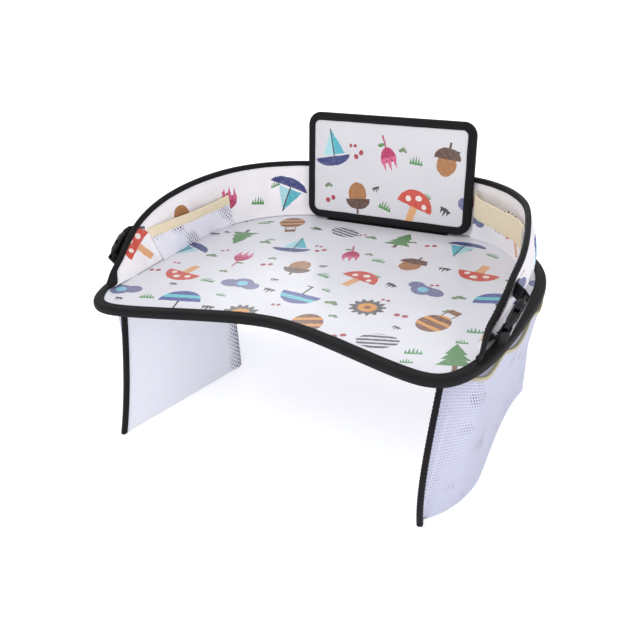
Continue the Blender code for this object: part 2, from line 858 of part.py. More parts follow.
def wall_side_x(y, z, offset):
    """How far out the right wall is at a place on its side, offset from its inner face."""
    before = None
    for station in wall_stations(60, 0.0, 0.6):
        low = station.at(offset, 0)
        point = station.at(offset, (z - low.z) / station.up.z)
        if before and before.y <= y <= point.y:
            return before.lerp(point, (y - before.y) / (point.y - before.y)).x
        before = point
    return before.x


class Buckle:
    """A side-release buckle with its two straps, in a frame of its own.

    Local X runs across the webbing, Y away from the wall and Z from the socket to the plug,
    with z = 0 at the socket's mouth.
    """

    def __init__(self, name, side):
        self.name = name
        self.side = side
        out = Vector((side * math.cos(buckle_lean), 0, -math.sin(buckle_lean)))
        rise = Vector((side * math.sin(buckle_lean), 0, math.cos(buckle_lean)))
        pull = Vector((0, 1, 0)) * math.cos(buckle_slope) + rise * math.sin(buckle_slope)
        axes = Matrix((out.cross(pull), out, pull)).transposed()
        mouth = Vector((side * buckle_mouth.x, buckle_mouth.y, buckle_mouth.z))
        self.frame = Matrix.Translation(mouth) @ axes.to_4x4()
        self.to_local = self.frame.inverted()

    def put(self, part_name, shape, colour=plastic_black, roughness=0.3):
        item = make_object(self.name + part_name, shape, colour, roughness)
        item.matrix_world = self.frame
        return item

    def slot_cutter(self, part_name, near, far):
        """A cutter for the strap slot, right through the buckle's thickness."""
        half = web_width / 2 + 2 * clearance
        deep = buckle_thickness
        return self.put(part_name, box(Vector((-half, -deep, near)), Vector((half, deep, far))))

    def build_socket(self):
        body = loft([
            rounded_section(socket_end_width, buckle_end_thickness, -socket_length),
            rounded_section(socket_end_width, buckle_end_thickness, bar_thickness - socket_length),
            rounded_section(buckle_width, buckle_thickness, -socket_cavity_depth),
            rounded_section(buckle_width, buckle_thickness, 0)], False)
        socket = self.put("_buckle_socket", body)
        half = socket_cavity_width / 2
        deep = socket_cavity_thickness / 2
        cavity = self.put("_cavity_cutter", box(Vector((-half, -deep, -socket_cavity_depth)),
                                                Vector((half, deep, overrun))))
        wide = buckle_width / 2 + overrun
        window = self.put("_window_cutter", box(Vector((-wide, -deep, -socket_window_far)),
                                                Vector((wide, deep, -socket_window_near))))
        slot_low = -socket_length + bar_thickness
        slot = self.slot_cutter("_socket_slot_cutter", slot_low, slot_low + bar_slot)
        for cutter in (cavity, window, slot):
            add_boolean(socket, cutter, "DIFFERENCE")

    def prong_outline(self):
        """Outline of the plug's guide and two prongs, from the right root round to the left."""
        root = plug_length / 4
        tip = -prong_length
        shoulder = tip + prong_head_length
        outer = prong_outer_half
        head = socket_cavity_width / 2 - clearance
        right = [(outer, root), (outer, shoulder + overrun), (head, shoulder), (head, tip + overrun * 3),
                 (prong_inner_half + overrun, tip), (prong_inner_half, tip + overrun),
                 (prong_inner_half, -clearance - overrun), (guide_half + overrun, -clearance - overrun),
                 (guide_half, tip + overrun * 2), (guide_half - overrun, tip + overrun)]
        left = [(-x, z) for x, z in right[::-1]]
        return right + left

    def build_plug(self):
        body = loft([
            rounded_section(buckle_width, buckle_thickness, clearance),
            rounded_section(buckle_width, buckle_thickness, plug_shoulder),
            rounded_section(socket_end_width, buckle_end_thickness, plug_length - bar_thickness),
            rounded_section(socket_end_width, buckle_end_thickness, plug_length)], False)
        plug = self.put("_buckle_plug", body)
        half = prong_thickness / 2
        outline = self.prong_outline()
        rings = [[Vector((x, y, z)) for x, z in outline] for y in (-half, half)]
        prongs = self.put("_prong_tool", loft(rings, False))
        slot_high = plug_length - bar_thickness
        slot = self.slot_cutter("_plug_slot_cutter", slot_high - bar_slot, slot_high)
        add_boolean(plug, prongs, "UNION")
        add_boolean(plug, slot, "DIFFERENCE")

    def strap_loop(self, end, direction):
        """Centre line (z, y) of a strap's loop round the bar at one end of the buckle."""
        bar_middle = end - direction * bar_thickness / 2
        half_strap = web_thickness / 2
        over = buckle_end_thickness / 2 + clearance + half_strap
        past = bar_thickness / 2 + clearance + half_strap
        slot_middle = end - direction * (bar_thickness + bar_slot / 2)
        tail_end = end + direction * strap_tail_length
        bevel = strap_loop_radius
        return [
            (tail_end, -over - clearance),
            (bar_middle + direction * past, -over),
            (slot_middle + direction * bevel, -over),
            (slot_middle, -over + bevel),
            (slot_middle, over - bevel),
            (slot_middle + direction * bevel, over),
            (bar_middle + direction * past, over),
            (tail_end, -over + web_thickness + clearance)]

    def on_wall(self, y, z, lift):
        """A local point on the wall's outer face, lifted off it."""
        x = wall_side_x(y, z, wall_thickness() + lift)
        return self.to_local @ Vector((self.side * x, y, z))

    def sewn_rings(self, direction, start, end_places, shares):
        """Sections of the strap's part on the wall, between a distance along the buckle and its end."""
        lifts = (clearance, clearance + web_thickness)
        near_side, far_side = lifts if direction > 0 else lifts[::-1]
        across = web_width / 2
        starts = [self.frame @ Vector((x, 0, start)) for x in (across, -across)]
        ends = end_places if self.side > 0 else end_places[::-1]
        rings = []
        for share in shares:
            places = []
            for begin, (end_y, end_z) in zip(starts, ends):
                places.append((begin.y + (end_y - begin.y) * share, begin.z + (end_z - begin.z) * share))
            first, second = places
            rings.append([self.on_wall(*first, near_side), self.on_wall(*second, near_side),
                          self.on_wall(*second, far_side), self.on_wall(*first, far_side)])
        return rings

    def build_strap(self, part_name, end, direction, end_places, shares):
        line = [Vector((0, y, z)) for z, y in self.strap_loop(end, direction)]
        across = Vector((web_width / 2, 0, 0))
        rings = []
        for k, point in enumerate(line):
            before = (point - line[max(k - 1, 0)]).normalized()
            after = (line[min(k + 1, len(line) - 1)] - point).normalized()
            run = (before + after).normalized()
            normal = Vector((0, -run.z, run.y))
            straight = after if after.length > 0 else before
            reach = normal * web_thickness / 2 / normal.dot(Vector((0, -straight.z, straight.y)))
            rings.append([point + reach + across, point + reach - across,
                          point - reach - across, point - reach + across])
        start = end + direction * (strap_tail_length + 3 * web_thickness)
        rings += self.sewn_rings(direction, start, end_places, shares)
        self.put(part_name, loft(rings, False), tape_black, 0.75)

    def build(self):
        self.build_socket()
        self.build_plug()
        self.build_strap("_upper_strap", plug_length, 1, upper_strap_end, upper_sewn_shares)
        self.build_strap("_lower_strap", -socket_length, -1, lower_strap_end, lower_sewn_shares)


def build_buckles():
    for name, side in (("right", 1), ("left", -1)):
        Buckle(name, side).build()


def move_to_base():
    """Put the origin at the bottom centre of the whole product."""
    for item in bpy.context.scene.objects:
        item.location += base_shift


def main():
    clear_scene()
    build_tray()
    build_wall()
    build_inner_pockets()
    build_panel()
    build_skirts()
    build_buckles()
    move_to_base()


main()
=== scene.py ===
"""Looks of the car seat travel tray: printed covers, grosgrain tapes, knitted mesh, webbing and plastic.

Metres. Shapes are drawn from the tray's underside, as the sewn pieces are measured, and make_piece
moves them to the frame, whose origin is at the bottom centre, level with the mesh pockets' floors.
"""
import math

import bmesh
import bpy
import numpy as np
from mathutils import Matrix, Vector, noise
from mathutils.kdtree import KDTree


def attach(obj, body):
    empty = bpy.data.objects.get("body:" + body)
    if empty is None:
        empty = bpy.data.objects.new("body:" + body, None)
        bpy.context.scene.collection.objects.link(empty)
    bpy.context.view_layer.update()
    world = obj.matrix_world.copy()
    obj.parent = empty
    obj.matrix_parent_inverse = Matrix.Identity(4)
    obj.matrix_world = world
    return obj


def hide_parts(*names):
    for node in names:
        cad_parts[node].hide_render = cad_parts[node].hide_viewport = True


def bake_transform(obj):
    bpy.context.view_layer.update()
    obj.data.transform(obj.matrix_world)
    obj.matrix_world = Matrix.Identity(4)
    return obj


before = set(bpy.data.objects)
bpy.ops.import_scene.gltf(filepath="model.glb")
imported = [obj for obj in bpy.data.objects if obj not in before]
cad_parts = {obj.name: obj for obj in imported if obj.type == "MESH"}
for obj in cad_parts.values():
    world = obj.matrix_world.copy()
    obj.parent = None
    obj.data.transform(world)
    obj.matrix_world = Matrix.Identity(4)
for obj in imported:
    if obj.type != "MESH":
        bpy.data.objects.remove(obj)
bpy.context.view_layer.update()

base_shift = Vector((0, -0.03535, 0.1350))

# Tray outline, right half: front hollow, front lobe, widest place, back
tray_half_width = 0.210
hollow_y = -0.087
lobe = Vector((0.1607, -0.1234, 0))
widest_y = 0.0372
back_y = 0.2020
hollow_reach = 0.0462
lobe_inner_reach = 0.0302
lobe_outer_reach = 0.0318
side_front_reach = 0.134
side_back_reach = 0.090
back_reach = 0.1700
outline_steps = (36, 44, 60)
tray_middle = Vector((0, 0.030, 0))

# Cloth layers and tapes
fabric = 0.0008
clearance = 0.0003
foam_z = 0.0034
tray_top_z = 0.0065
tray_puff = 0.0013
tray_crown_span = (0.003, 0.030)
tape = 0.0009
tray_leg = 0.0105
tray_bulge = 0.0034
wall_leg = 0.0056
wall_bulge = 0.0024
panel_leg = 0.0088
panel_bulge = 0.0026
turn_steps = 6
tape_full_at = 0.6

# Side wall
wall_half_width = 0.1844
wall_back_y = 0.1764
wall_corner_radius = 0.115
wall_front_y = -0.0850
wall_ramp_low_y = -0.0560
wall_ramp_high_y = -0.0680
wall_thickness = 0.0042
wall_end_thickness = 0.0022
wall_pinch = 0.0006
wall_pinch_span = (0.014, 0.005)
wall_swell = 0.0066
wall_swell_power = 0.75
wall_end_reach = 0.0040
wall_foot_reach = 0.0096
wall_end_lift = 0.0020
wall_steps = 130
wall_levels = 12
wall_line_steps = 240
wall_corner_steps = 40
wall_top_steps = 48
wall_end_gap = 0.0008
seam_radius = 0.00045
seam_start = 12
stitches_start = 6
wall_top_start = Vector((0.1895, -0.0860, 0.0150))
wall_top_rise_a = Vector((0.1975, -0.0740, 0.0170))
wall_top_rise_b = Vector((0.2045, -0.0400, 0.0430))
wall_top_side = Vector((0.2040, -0.0150, 0.0546))
wall_top_bend_a = Vector((0.2040, 0.0654, 0.0880))
wall_top_bend_b = Vector((0.1589, 0.1875, 0.0676))
wall_top_back = Vector((0.0753, 0.1875, 0.0703))
right_wall_lean = 0.0062
left_wall_lean = 0.0042

# Where the wall's shape changes, in shares of the half wall from its front end to its middle
wall_thickens = (0.0, 0.10)
wall_foot_comes_in = (0.0, 0.09)
wall_end_comes_in = (0.0, 0.05)
wall_leg_shortens = (0.01, 0.05)
wall_lean_starts = (0.02, 0.09)
wall_lean_ends = (0.66, 0.76)
wall_swell_starts = (0.24, 0.35)
wall_swell_ends = (0.64, 0.78)
right_wall_straightens = ((0.0016, 0.20, 0.28), (0.0036, 0.38, 0.54))
left_wall_straightens = ((0.0042, 0.40, 0.60),)

# How the padded wall is blown up, and where it is free to swell
wall_pressure = 2.0
wall_puff_cap = 0.0012
wall_spare_cloth = 0.012
wall_sim_frames = 20
wall_puff_starts = (0.05, 0.16)
beside_panel = (0.070, 0.085)
wall_hem = 0.0030
below_tape = 0.0080

# Panel
panel_width = 0.2004
panel_height = 0.1212
panel_radius = 0.0150
panel_front_y = 0.1656
panel_tilt = math.radians(7.7)
panel_stack = 0.0048
panel_thickness = 0.0072
panel_puff = 0.0011
panel_crown_span = (0.0005, 0.022)
panel_corner_steps = 10
hinge_tape_width = 0.1500
hinge_tape_depth = 0.0085
hook_width = 0.1300
hook_height = 0.0250
hook_thickness = 0.0019
hook_share = 0.32

# Mesh side pockets
mesh = 0.0010
skirt_gap = 0.0006
skirt_bottom_z = -0.1350
skirt_top_z = -0.0015
skirt_front_top = Vector((0.1685, -0.0925, 0))
skirt_front_bottom = Vector((0.1635, -0.1300, 0))
skirt_rear_inner = Vector((0.1265, 0.0385, 0))
skirt_rear_outer_top = Vector((0.1895, 0.1050, 0))
skirt_rear_outer_bottom = Vector((0.1835, 0.1110, 0))
skirt_rim_inset = 0.0032
skirt_rim_start_y = -0.0700
skirt_side_bottom = Vector((0.1896, -0.0500, 0))
skirt_front_handle = Vector((0.0135, 0.0068, 0))
skirt_side_handles = (Vector((0, 0.0350, 0)), Vector((-0.0030, 0.0400, 0)))
skirt_rear_handle = Vector((0.0080, 0.0450, 0))
skirt_lead = 0.0085
skirt_sag = 0.0094
skirt_corner_slack = 0.70
skirt_flare = 0.0006
skirt_bows = 3
skirt_fold = 0.0016
skirt_trim_leg = 0.0030
skirt_bulge = 0.0016
right_skirt_bow = 0.0115
left_skirt_bow = -0.0030
right_skirt_leg = 0.0088
left_skirt_leg = 0.0054
right_skirt_narrow = 0.45
right_skirt_lean = 0.0028
skirt_levels = 6
skirt_front_levels = 24
skirt_side_steps = 20
skirt_rear_steps = 5
skirt_refining = 5
inner_panel_columns = 30
floor_rows = 8
trim_tape = 0.0006

# Buckles
web_width = 0.0200
web_thickness = 0.0013
bar_thickness = 0.0024
bar_slot = 0.0036
buckle_end_thickness = 0.0050
buckle_mouth = Vector((0.2088, -0.0310, 0.0295))
buckle_slope = math.radians(27)
buckle_lean = math.radians(19)
socket_length = 0.0240
plug_length = 0.0125
plastic_bevel = 0.0005
web_tail = 0.0050
web_bend = 0.0010
web_columns = 6
upper_strap_sewn = ((0.0100, 0.0430), (0.0160, 0.0255))
lower_strap_sewn = ((-0.0520, 0.0086), (-0.0330, 0.0086))

# Camera, in millimetres as its maker gives them
camera_sensor = 36
camera_lens = 45.13

# Thread, and how far inside each tape's edge its stitches run
stitch_length = 0.0026
stitch_pitch = 0.0036
stitch_radius = 0.00026
stitch_sides = 6
stitch_sink = 0.7
tray_stitch_inset = 0.0018
wall_stitch_inset = 0.0014
panel_stitch_inset = 0.0017
skirt_stitch_inset = 0.0015
pocket_stitch_inset = 0.0015


def ink(code):
    """A linear colour from the six-digit code that a print shop would use."""
    parts = [int(code[k:k + 2], 16) / 255 for k in (0, 2, 4)]
    return tuple(c / 12.92 if c <= 0.04045 else ((c + 0.055) / 1.055) ** 2.4 for c in parts) + (1.0,)


def shade_of(code, share):
    """That colour, darker below a share of 1 and lighter above it."""
    return tuple(c * share for c in ink(code)[:3]) + (1.0,)


# Curves

def bezier(a, b, c, d, steps):
    """Points along a cubic curve, without its last one."""
    points = []
    for k in range(steps):
        t = k / steps
        s = 1 - t
        points.append(a * s**3 + b * (3 * s * s * t) + c * (3 * s * t * t) + d * t**3)
    return points


def spline(points, factor):
    """Points on a smooth curve through the given ones."""
    result = []
    last = len(points) - 1
    for k in range(last):
        before, first, second, after = (points[max(k - 1, 0)], points[k], points[k + 1], points[min(k + 2, last)])
        for n in range(factor):
            t = n / factor
            result.append(0.5 * (2 * first + (second - before) * t
                                 + (2 * before - 5 * first + 4 * second - after) * t * t
                                 + (3 * first - before - 3 * second + after) * t**3))
    return result + [points[-1]]


def refine(rings, factor):
    """A row of rings with smooth rings between them."""
    columns = [spline(list(column), factor) for column in zip(*rings)]
    return [list(ring) for ring in zip(*columns)]


def path_lengths(points):
    """The distance along a polyline to each of its points."""
    lengths = [0.0]
    for first, second in zip(points, points[1:]):
        lengths.append(lengths[-1] + (second - first).length)
    return lengths


def points_at(points, targets):
    """Points at rising distances along a polyline, each with the number of the stretch that it is on."""
    lengths = path_lengths(points)
    k = 0
    for target in targets:
        while k < len(points) - 2 and lengths[k + 1] < target:
            k += 1
        share = (target - lengths[k]) / max(lengths[k + 1] - lengths[k], 1e-9)
        yield k, points[k].lerp(points[k + 1], min(max(share, 0.0), 1.0))


def resample(points, count):
    """Points at even distances along a polyline."""
    total = path_lengths(points)[-1]
    return [point for _, point in points_at(points, [total * n / count for n in range(count + 1)])]


def smooth_step(low, high, value):
    t = min(max((value - low) / (high - low), 0.0), 1.0)
    return t * t * (3 - 2 * t)


def fade(low, high, value):
    return 1 - smooth_step(low, high, value)


def hill(rise, fall, value):
    """1 between two spans, and fading to 0 over each of them."""
    return smooth_step(*rise, value) * fade(*fall, value)


def ripple(place, size, seed):
    """Soft unevenness from -1 to 1, with bumps of about that size."""
    return noise.noise(Vector(place) / size + Vector((seed, 0, seed)))


def mirrored(point):
    return Vector((-point.x, point.y, point.z))


# Meshes

def loft(rings, flats, closed_path=False, closed_section=True, capped=True):
    """Skin rings of points; flats gives each point's place on the flat cloth."""
    shape = bmesh.new()
    layer = shape.loops.layers.uv.new("cloth")
    rows = [[shape.verts.new(point) for point in ring] for ring in rings]
    count = len(rings[0])
    for i in range(len(rows) if closed_path else len(rows) - 1):
        following = rows[(i + 1) % len(rows)]
        for k in range(count if closed_section else count - 1):
            n = (k + 1) % count
            face = shape.faces.new((rows[i][k], rows[i][n], following[n], following[k]))
            places = (flats[i][k], flats[i][k + 1], flats[i + 1][k + 1], flats[i + 1][k])
            for corner, place in zip(face.loops, places):
                corner[layer].uv = place
    if closed_section and not closed_path and capped:
        for row, flat in ((rows[0][::-1], flats[0][:count][::-1]), (rows[-1], flats[-1][:count])):
            for corner, place in zip(shape.faces.new(row).loops, flat):
                corner[layer].uv = place
    return shape


def add_shape(shape, extra):
    """Put one bmesh into another, with its place on the cloth."""
    data = bpy.data.meshes.new("extra")
    extra.to_mesh(data)
    extra.free()
    shape.from_mesh(data)
    bpy.data.meshes.remove(data)


def lay_flat(shape, faces):
    """Give faces that lie level their own place as their place on the cloth."""
    layer = shape.loops.layers.uv["cloth"]
    for face in faces:
        for corner in face.loops:
            corner[layer].uv = corner.vert.co.xy


def along_and_across(rings, section, closed_path=False):
    """Places on a flat tape: the distance along it, and the distance round its section."""
    across = [0.0]
    for first, second in zip(section, section[1:] + section[:1]):
        across.append(across[-1] + math.dist(first, second))
    line = [ring[len(ring) // 4] for ring in rings]
    if closed_path:
        line.append(line[0])
    return [[(u, v) for v in across] for u in path_lengths(line)]


def make_piece(name, shape, material, sharp=math.radians(50)):
    """Turn a bmesh into a smooth object, moved to the frame."""
    bmesh.ops.recalc_face_normals(shape, faces=shape.faces[:])
    bmesh.ops.translate(shape, verts=shape.verts[:], vec=base_shift)
    data = bpy.data.meshes.new(name)
    shape.to_mesh(data)
    shape.free()
    item = bpy.data.objects.new(name, data)
    bpy.context.scene.collection.objects.link(item)
    data.shade_smooth()
    data.set_sharp_from_angle(angle=sharp)
    data.materials.append(material)
    return item


def settle(item, body, *nodes):
    """Let the piece ride on its body, and hide the solids whose place it takes."""
    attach(item, body)
    if nodes:
        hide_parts(*nodes)
    return item


def fold_arcs(half, bulge, steps):
    """The rounded closed end of a folded tape, as (depth, side) points from one side to the other."""
    turns = [math.pi / 2 * k / steps for k in range(steps + 1)]
    points = [(bulge - bulge * math.sin(a), -half + bulge * (1 - math.cos(a))) for a in turns]
    return points + [(depth, -side) for depth, side in points[::-1]]


def tape_section(slot, wall, leg, bulge):
    """A folded tape: (depth, side) points of a U with a rounded closed end at depth 0."""
    half = slot / 2 + wall
    points = [(leg, -half + wall / 3), (leg - wall / 2, -half), (leg * tape_full_at, -half - clearance / 3)]
    points += fold_arcs(half, bulge, turn_steps)
    points += [(leg * tape_full_at, half + clearance / 3), (leg - wall / 2, half), (leg, half - wall / 3)]
    return points + [(leg, slot / 2), (wall, slot / 2), (wall, -slot / 2), (leg, -slot / 2)]


def tape_ring(section, bulge, stretch, place):
    """One ring of a folded tape: its fold stays, and its sewn edges lie nearer or further by stretch."""
    return [place(depth * (stretch if depth > bulge else 1), side) for depth, side in section]


class Thread:
    """Rows of stitches, gathered in one object for each sewn part."""

    def __init__(self, name, body, material):
        self.name = name
        self.body = body
        self.material = material
        self.shape = bmesh.new()

    def stitch(self, start, end, out):
        """One stitch: a six-sided bead with pointed ends."""
        side = (end - start).normalized().cross(out).normalized()
        middle = (start + end) / 2 + out * stitch_radius * stitch_sink
        tips = [self.shape.verts.new(start), self.shape.verts.new(end)]
        ring = []
        for k in range(stitch_sides):
            angle = math.tau / stitch_sides * k
            ring.append(self.shape.verts.new(middle + side * math.cos(angle) * stitch_radius
                                             + out * math.sin(angle) * stitch_radius))
        for first, second in zip(ring, ring[1:] + ring[:1]):
            self.shape.faces.new((first, second, tips[1]))
            self.shape.faces.new((second, first, tips[0]))

    def sew(self, points, outs):
        """Stitches at an even pitch along a line whose points each have an outward direction."""
        count = max(int(path_lengths(points)[-1] / stitch_pitch), 1)
        ends = [n * stitch_pitch + reach for n in range(count) for reach in (0, stitch_length)]
        places = list(points_at(points, ends))
        for (_, start), (k, end) in zip(places[::2], places[1::2]):
            self.stitch(start, end, outs[k])

    def finish(self):
        return settle(make_piece(self.name, self.shape, self.material), self.body)


# Finishes

class Wiring:
    """Adds nodes to a tree; inputs may be numbers, colours or other nodes' outputs."""

    def __init__(self, tree):
        self.tree = tree

    def feed(self, socket, value):
        if isinstance(value, bpy.types.NodeSocket):
            self.tree.links.new(value, socket)
        else:
            socket.default_value = value

    def add(self, kind, inputs=None, **settings):
        node = self.tree.nodes.new(kind)
        for key, value in settings.items():
            setattr(node, key, value)
        for key, value in (inputs or {}).items():
            self.feed(node.inputs[key], value)
        return node

    def operate(self, kind, operation, values):
        """One operation's outputs, with its inputs fed in their order."""
        node = self.add(kind, operation=operation)
        for socket, value in zip(node.inputs, values):
            self.feed(socket, value)
        return node.outputs

    def math(self, operation, *values):
        return self.operate("ShaderNodeMath", operation, values)[0]

    def vector(self, operation, *values):
        outputs = self.operate("ShaderNodeVectorMath", operation, values)
        return outputs["Value" if operation == "LENGTH" else "Vector"]

    def gather(self, operation, values):
        """One value from several, taken two at a time."""
        result = values[0]
        for value in values[1:]:
            result = self.math(operation, result, value)
        return result

    def mix(self, share, first, second, blend="MIX"):
        node = self.add("ShaderNodeMix", data_type="RGBA", blend_type=blend)
        for number, value in ((0, share), (6, first), (7, second)):
            self.feed(node.inputs[number], value)
        return node.outputs[2]

    def clamp(self, value, least=0.0, most=1.0):
        return self.add("ShaderNodeClamp", {"Value": value, "Min": least, "Max": most}).outputs[0]

    def spots(self, flat, scale, detail=2.0):
        """Soft noise from 0 to 1."""
        node = self.add("ShaderNodeTexNoise", {"Vector": flat, "Scale": scale, "Detail": detail})
        return node.outputs["Fac"]

    def split(self, value):
        return self.add("ShaderNodeSeparateXYZ", {"Vector": value}).outputs[:2]

    def join(self, x, y):
        return self.add("ShaderNodeCombineXYZ", {"X": x, "Y": y}).outputs[0]


def new_group(name, inputs, outputs):
    """An empty effect that starts from the flat place on the cloth.

    Inputs are (name, kind, value) and outputs (name, kind).
    """
    tree = bpy.data.node_groups.new(name, "ShaderNodeTree")
    tree.interface.new_socket("Flat", in_out="INPUT", socket_type="NodeSocketVector")
    for label, kind, value in inputs:
        socket = tree.interface.new_socket(label, in_out="INPUT", socket_type="NodeSocket" + kind)
        socket.default_value = value
    for label, kind in outputs:
        tree.interface.new_socket(label, in_out="OUTPUT", socket_type="NodeSocket" + kind)
    w = Wiring(tree)
    return w, w.add("NodeGroupInput").outputs, w.add("NodeGroupOutput").inputs


class Motif:
    """Simple printed shapes around a cell's middle; each is below 0 inside."""

    def __init__(self, wiring, place):
        self.wiring = wiring
        self.place = place
        self.x, self.y = wiring.split(place)

    def around(self, x, y, width, height):
        """The cell from a shape's middle, in that shape's half widths and half heights."""
        return self.wiring.vector("MULTIPLY_ADD", self.place, (1 / width, 1 / height, 0),
                                  (-x / width, -y / height, 0))

    def disc(self, x, y, width, height):
        return self.wiring.math("SUBTRACT", self.wiring.vector("LENGTH", self.around(x, y, width, height)), 1.0)

    def bar(self, x, y, width, height):
        u, v = self.wiring.split(self.wiring.vector("ABSOLUTE", self.around(x, y, width, height)))
        return self.wiring.math("SUBTRACT", self.wiring.math("MAXIMUM", u, v), 1.0)

    def wedge(self, x, foot, tip, half):
        """A triangle that stands on its foot; with the tip below, it hangs."""
        w = self.wiring
        off = w.math("ABSOLUTE", w.math("SUBTRACT", self.x, x))
        rise = w.math("MULTIPLY_ADD", self.y, 1 / (tip - foot), -foot / (tip - foot))
        slope = w.math("ADD", w.math("MULTIPLY", off, 1 / half), w.math("SUBTRACT", rise, 1.0))
        return w.math("MAXIMUM", slope, w.math("MULTIPLY", rise, -1.0))

    def above(self, level):
        return self.wiring.math("SUBTRACT", level, self.y)

    def below(self, level):
        return self.wiring.math("SUBTRACT", self.y, level)

    def left_of(self, x):
        return self.wiring.math("SUBTRACT", self.x, x)

    def any(self, *shapes):
        return self.wiring.gather("MINIMUM", shapes)

    def all(self, *shapes):
        return self.wiring.gather("MAXIMUM", shapes)

    def stripes(self, pitch, share):
        """Level stripes across the cell."""
        wave = self.wiring.math("SINE", self.wiring.math("MULTIPLY", self.y, math.tau / pitch))
        return self.wiring.math("SUBTRACT", wave, share)


def main_motifs(m):
    """The printed shapes and their inks, back to front."""
    cap = m.all(m.disc(0, -0.08, 0.95, 0.86), m.above(-0.1))
    dots = m.any(m.disc(-0.42, 0.2, 0.15, 0.15), m.disc(0.08, 0.42, 0.17, 0.15), m.disc(0.5, 0.12, 0.13, 0.13))
    toadstool = [(m.bar(0, -0.5, 0.2, 0.42), "E3A873"), (cap, "CF4632"), (dots, "F1E4DA")]
    sail = m.wedge(0.12, -0.3, 0.98, 0.62)
    boat = [(m.all(m.disc(0, -0.35, 1.0, 0.52), m.below(-0.4)), "2F3A78"), (sail, "4FB3C4"),
            (m.all(sail, m.left_of(0.08)), "A9DCE2"), (m.bar(0.1, 0.28, 0.035, 0.72), "3A3330")]
    bag = m.disc(0, 0.32, 0.68, 0.74)
    balloon = [(m.any(m.bar(-0.25, -0.55, 0.03, 0.3), m.bar(0.25, -0.55, 0.03, 0.3)), "6B4A2E"),
               (bag, "DE9632"), (m.all(bag, m.stripes(0.52, 0.35)), "7A4420"),
               (m.bar(0, -0.9, 0.28, 0.17), "8A5528")]
    cloud = [(m.any(m.disc(-0.45, -0.08, 0.5, 0.36), m.disc(0.08, 0.1, 0.52, 0.46),
                    m.disc(0.58, -0.08, 0.42, 0.33)), "6F719A"),
             (m.disc(0.08, 0.06, 0.27, 0.22), "7CC6DC")]
    tulip = [(m.bar(0, -0.45, 0.045, 0.5), "B4506E"),
             (m.all(m.disc(0, 0.3, 0.42, 0.62), m.below(0.42)), "B3265C"),
             (m.any(m.wedge(-0.3, 0.2, 0.85, 0.14), m.wedge(0, 0.2, 0.92, 0.15),
                    m.wedge(0.3, 0.2, 0.85, 0.14)), "D65C86"),
             (m.disc(0.2, -0.5, 0.2, 0.08), "5E8A4A")]
    stone = m.disc(0, 0, 0.85, 0.55)
    pebble = [(stone, "D9D7DF"), (m.all(stone, m.stripes(0.26, 0.1)), "34323C")]
    canopy = m.disc(0, -0.12, 0.98, 0.98)
    umbrella = [(m.bar(0, -0.35, 0.05, 0.55), "3A3330"), (m.all(canopy, m.above(-0.1)), "3F4C96"),
                (m.all(canopy, m.above(0.2), m.below(0.48)), "5CC3CC"), (m.bar(0.12, -0.88, 0.16, 0.05), "3A3330")]
    acorn = [(m.disc(0, -0.25, 0.5, 0.6), "A9713C"),
             (m.all(m.disc(0, 0.05, 0.68, 0.5), m.above(0.0)), "5A3B2A"),
             (m.bar(0.05, 0.66, 0.06, 0.16), "5A3B2A")]
    fir = [(m.bar(0, -0.8, 0.1, 0.2), "7A4420"),
           (m.any(m.wedge(0, -0.62, 0.2, 0.72), m.wedge(0, -0.2, 0.6, 0.56),
                  m.wedge(0, 0.2, 1.0, 0.42)), "4E8A4C")]
    turn = m.wiring.math("ARCTAN2", m.y, m.x)
    thirteen = m.wiring.math("SINE", m.wiring.math("MULTIPLY", turn, 13.0))
    petals = m.wiring.math("MULTIPLY_ADD", thirteen, 0.14, m.disc(0, 0, 0.72, 0.66))
    flower = [(petals, "54504F"), (m.disc(0, 0, 0.42, 0.4), "DE9632"), (m.disc(0, 0, 0.14, 0.13), "7A4420")]
    return toadstool, boat, balloon, cloud, tulip, pebble, umbrella, acorn, fir, flower


def small_motifs(m):
    """Grass, black tufts, a low bush and a pair of berries, for between the main shapes."""
    blades = [m.wedge(x, -0.5, tip, 0.17)
              for x, tip in ((-0.8, 0.2), (-0.45, 0.6), (-0.05, 0.75), (0.35, 0.5), (0.75, 0.15))]
    grass = m.any(*blades, m.bar(0, -0.52, 0.95, 0.14))
    tuft = m.any(*[m.wedge(x, -0.4, tip, 0.24) for x, tip in ((-0.5, 0.35), (0.0, 0.75), (0.5, 0.4))],
                 m.disc(0, -0.42, 0.85, 0.22))
    bush = m.any(m.disc(-0.45, -0.15, 0.42, 0.34), m.disc(0.1, 0.1, 0.46, 0.42), m.disc(0.55, -0.18, 0.36, 0.28))
    berries = m.any(m.disc(-0.45, -0.2, 0.36, 0.36), m.disc(0.45, 0.15, 0.36, 0.36))
    return [(grass, "4C9150")], [(tuft, "35333A")], [(bush, "6F8A62")], [(berries, "A83A44")]


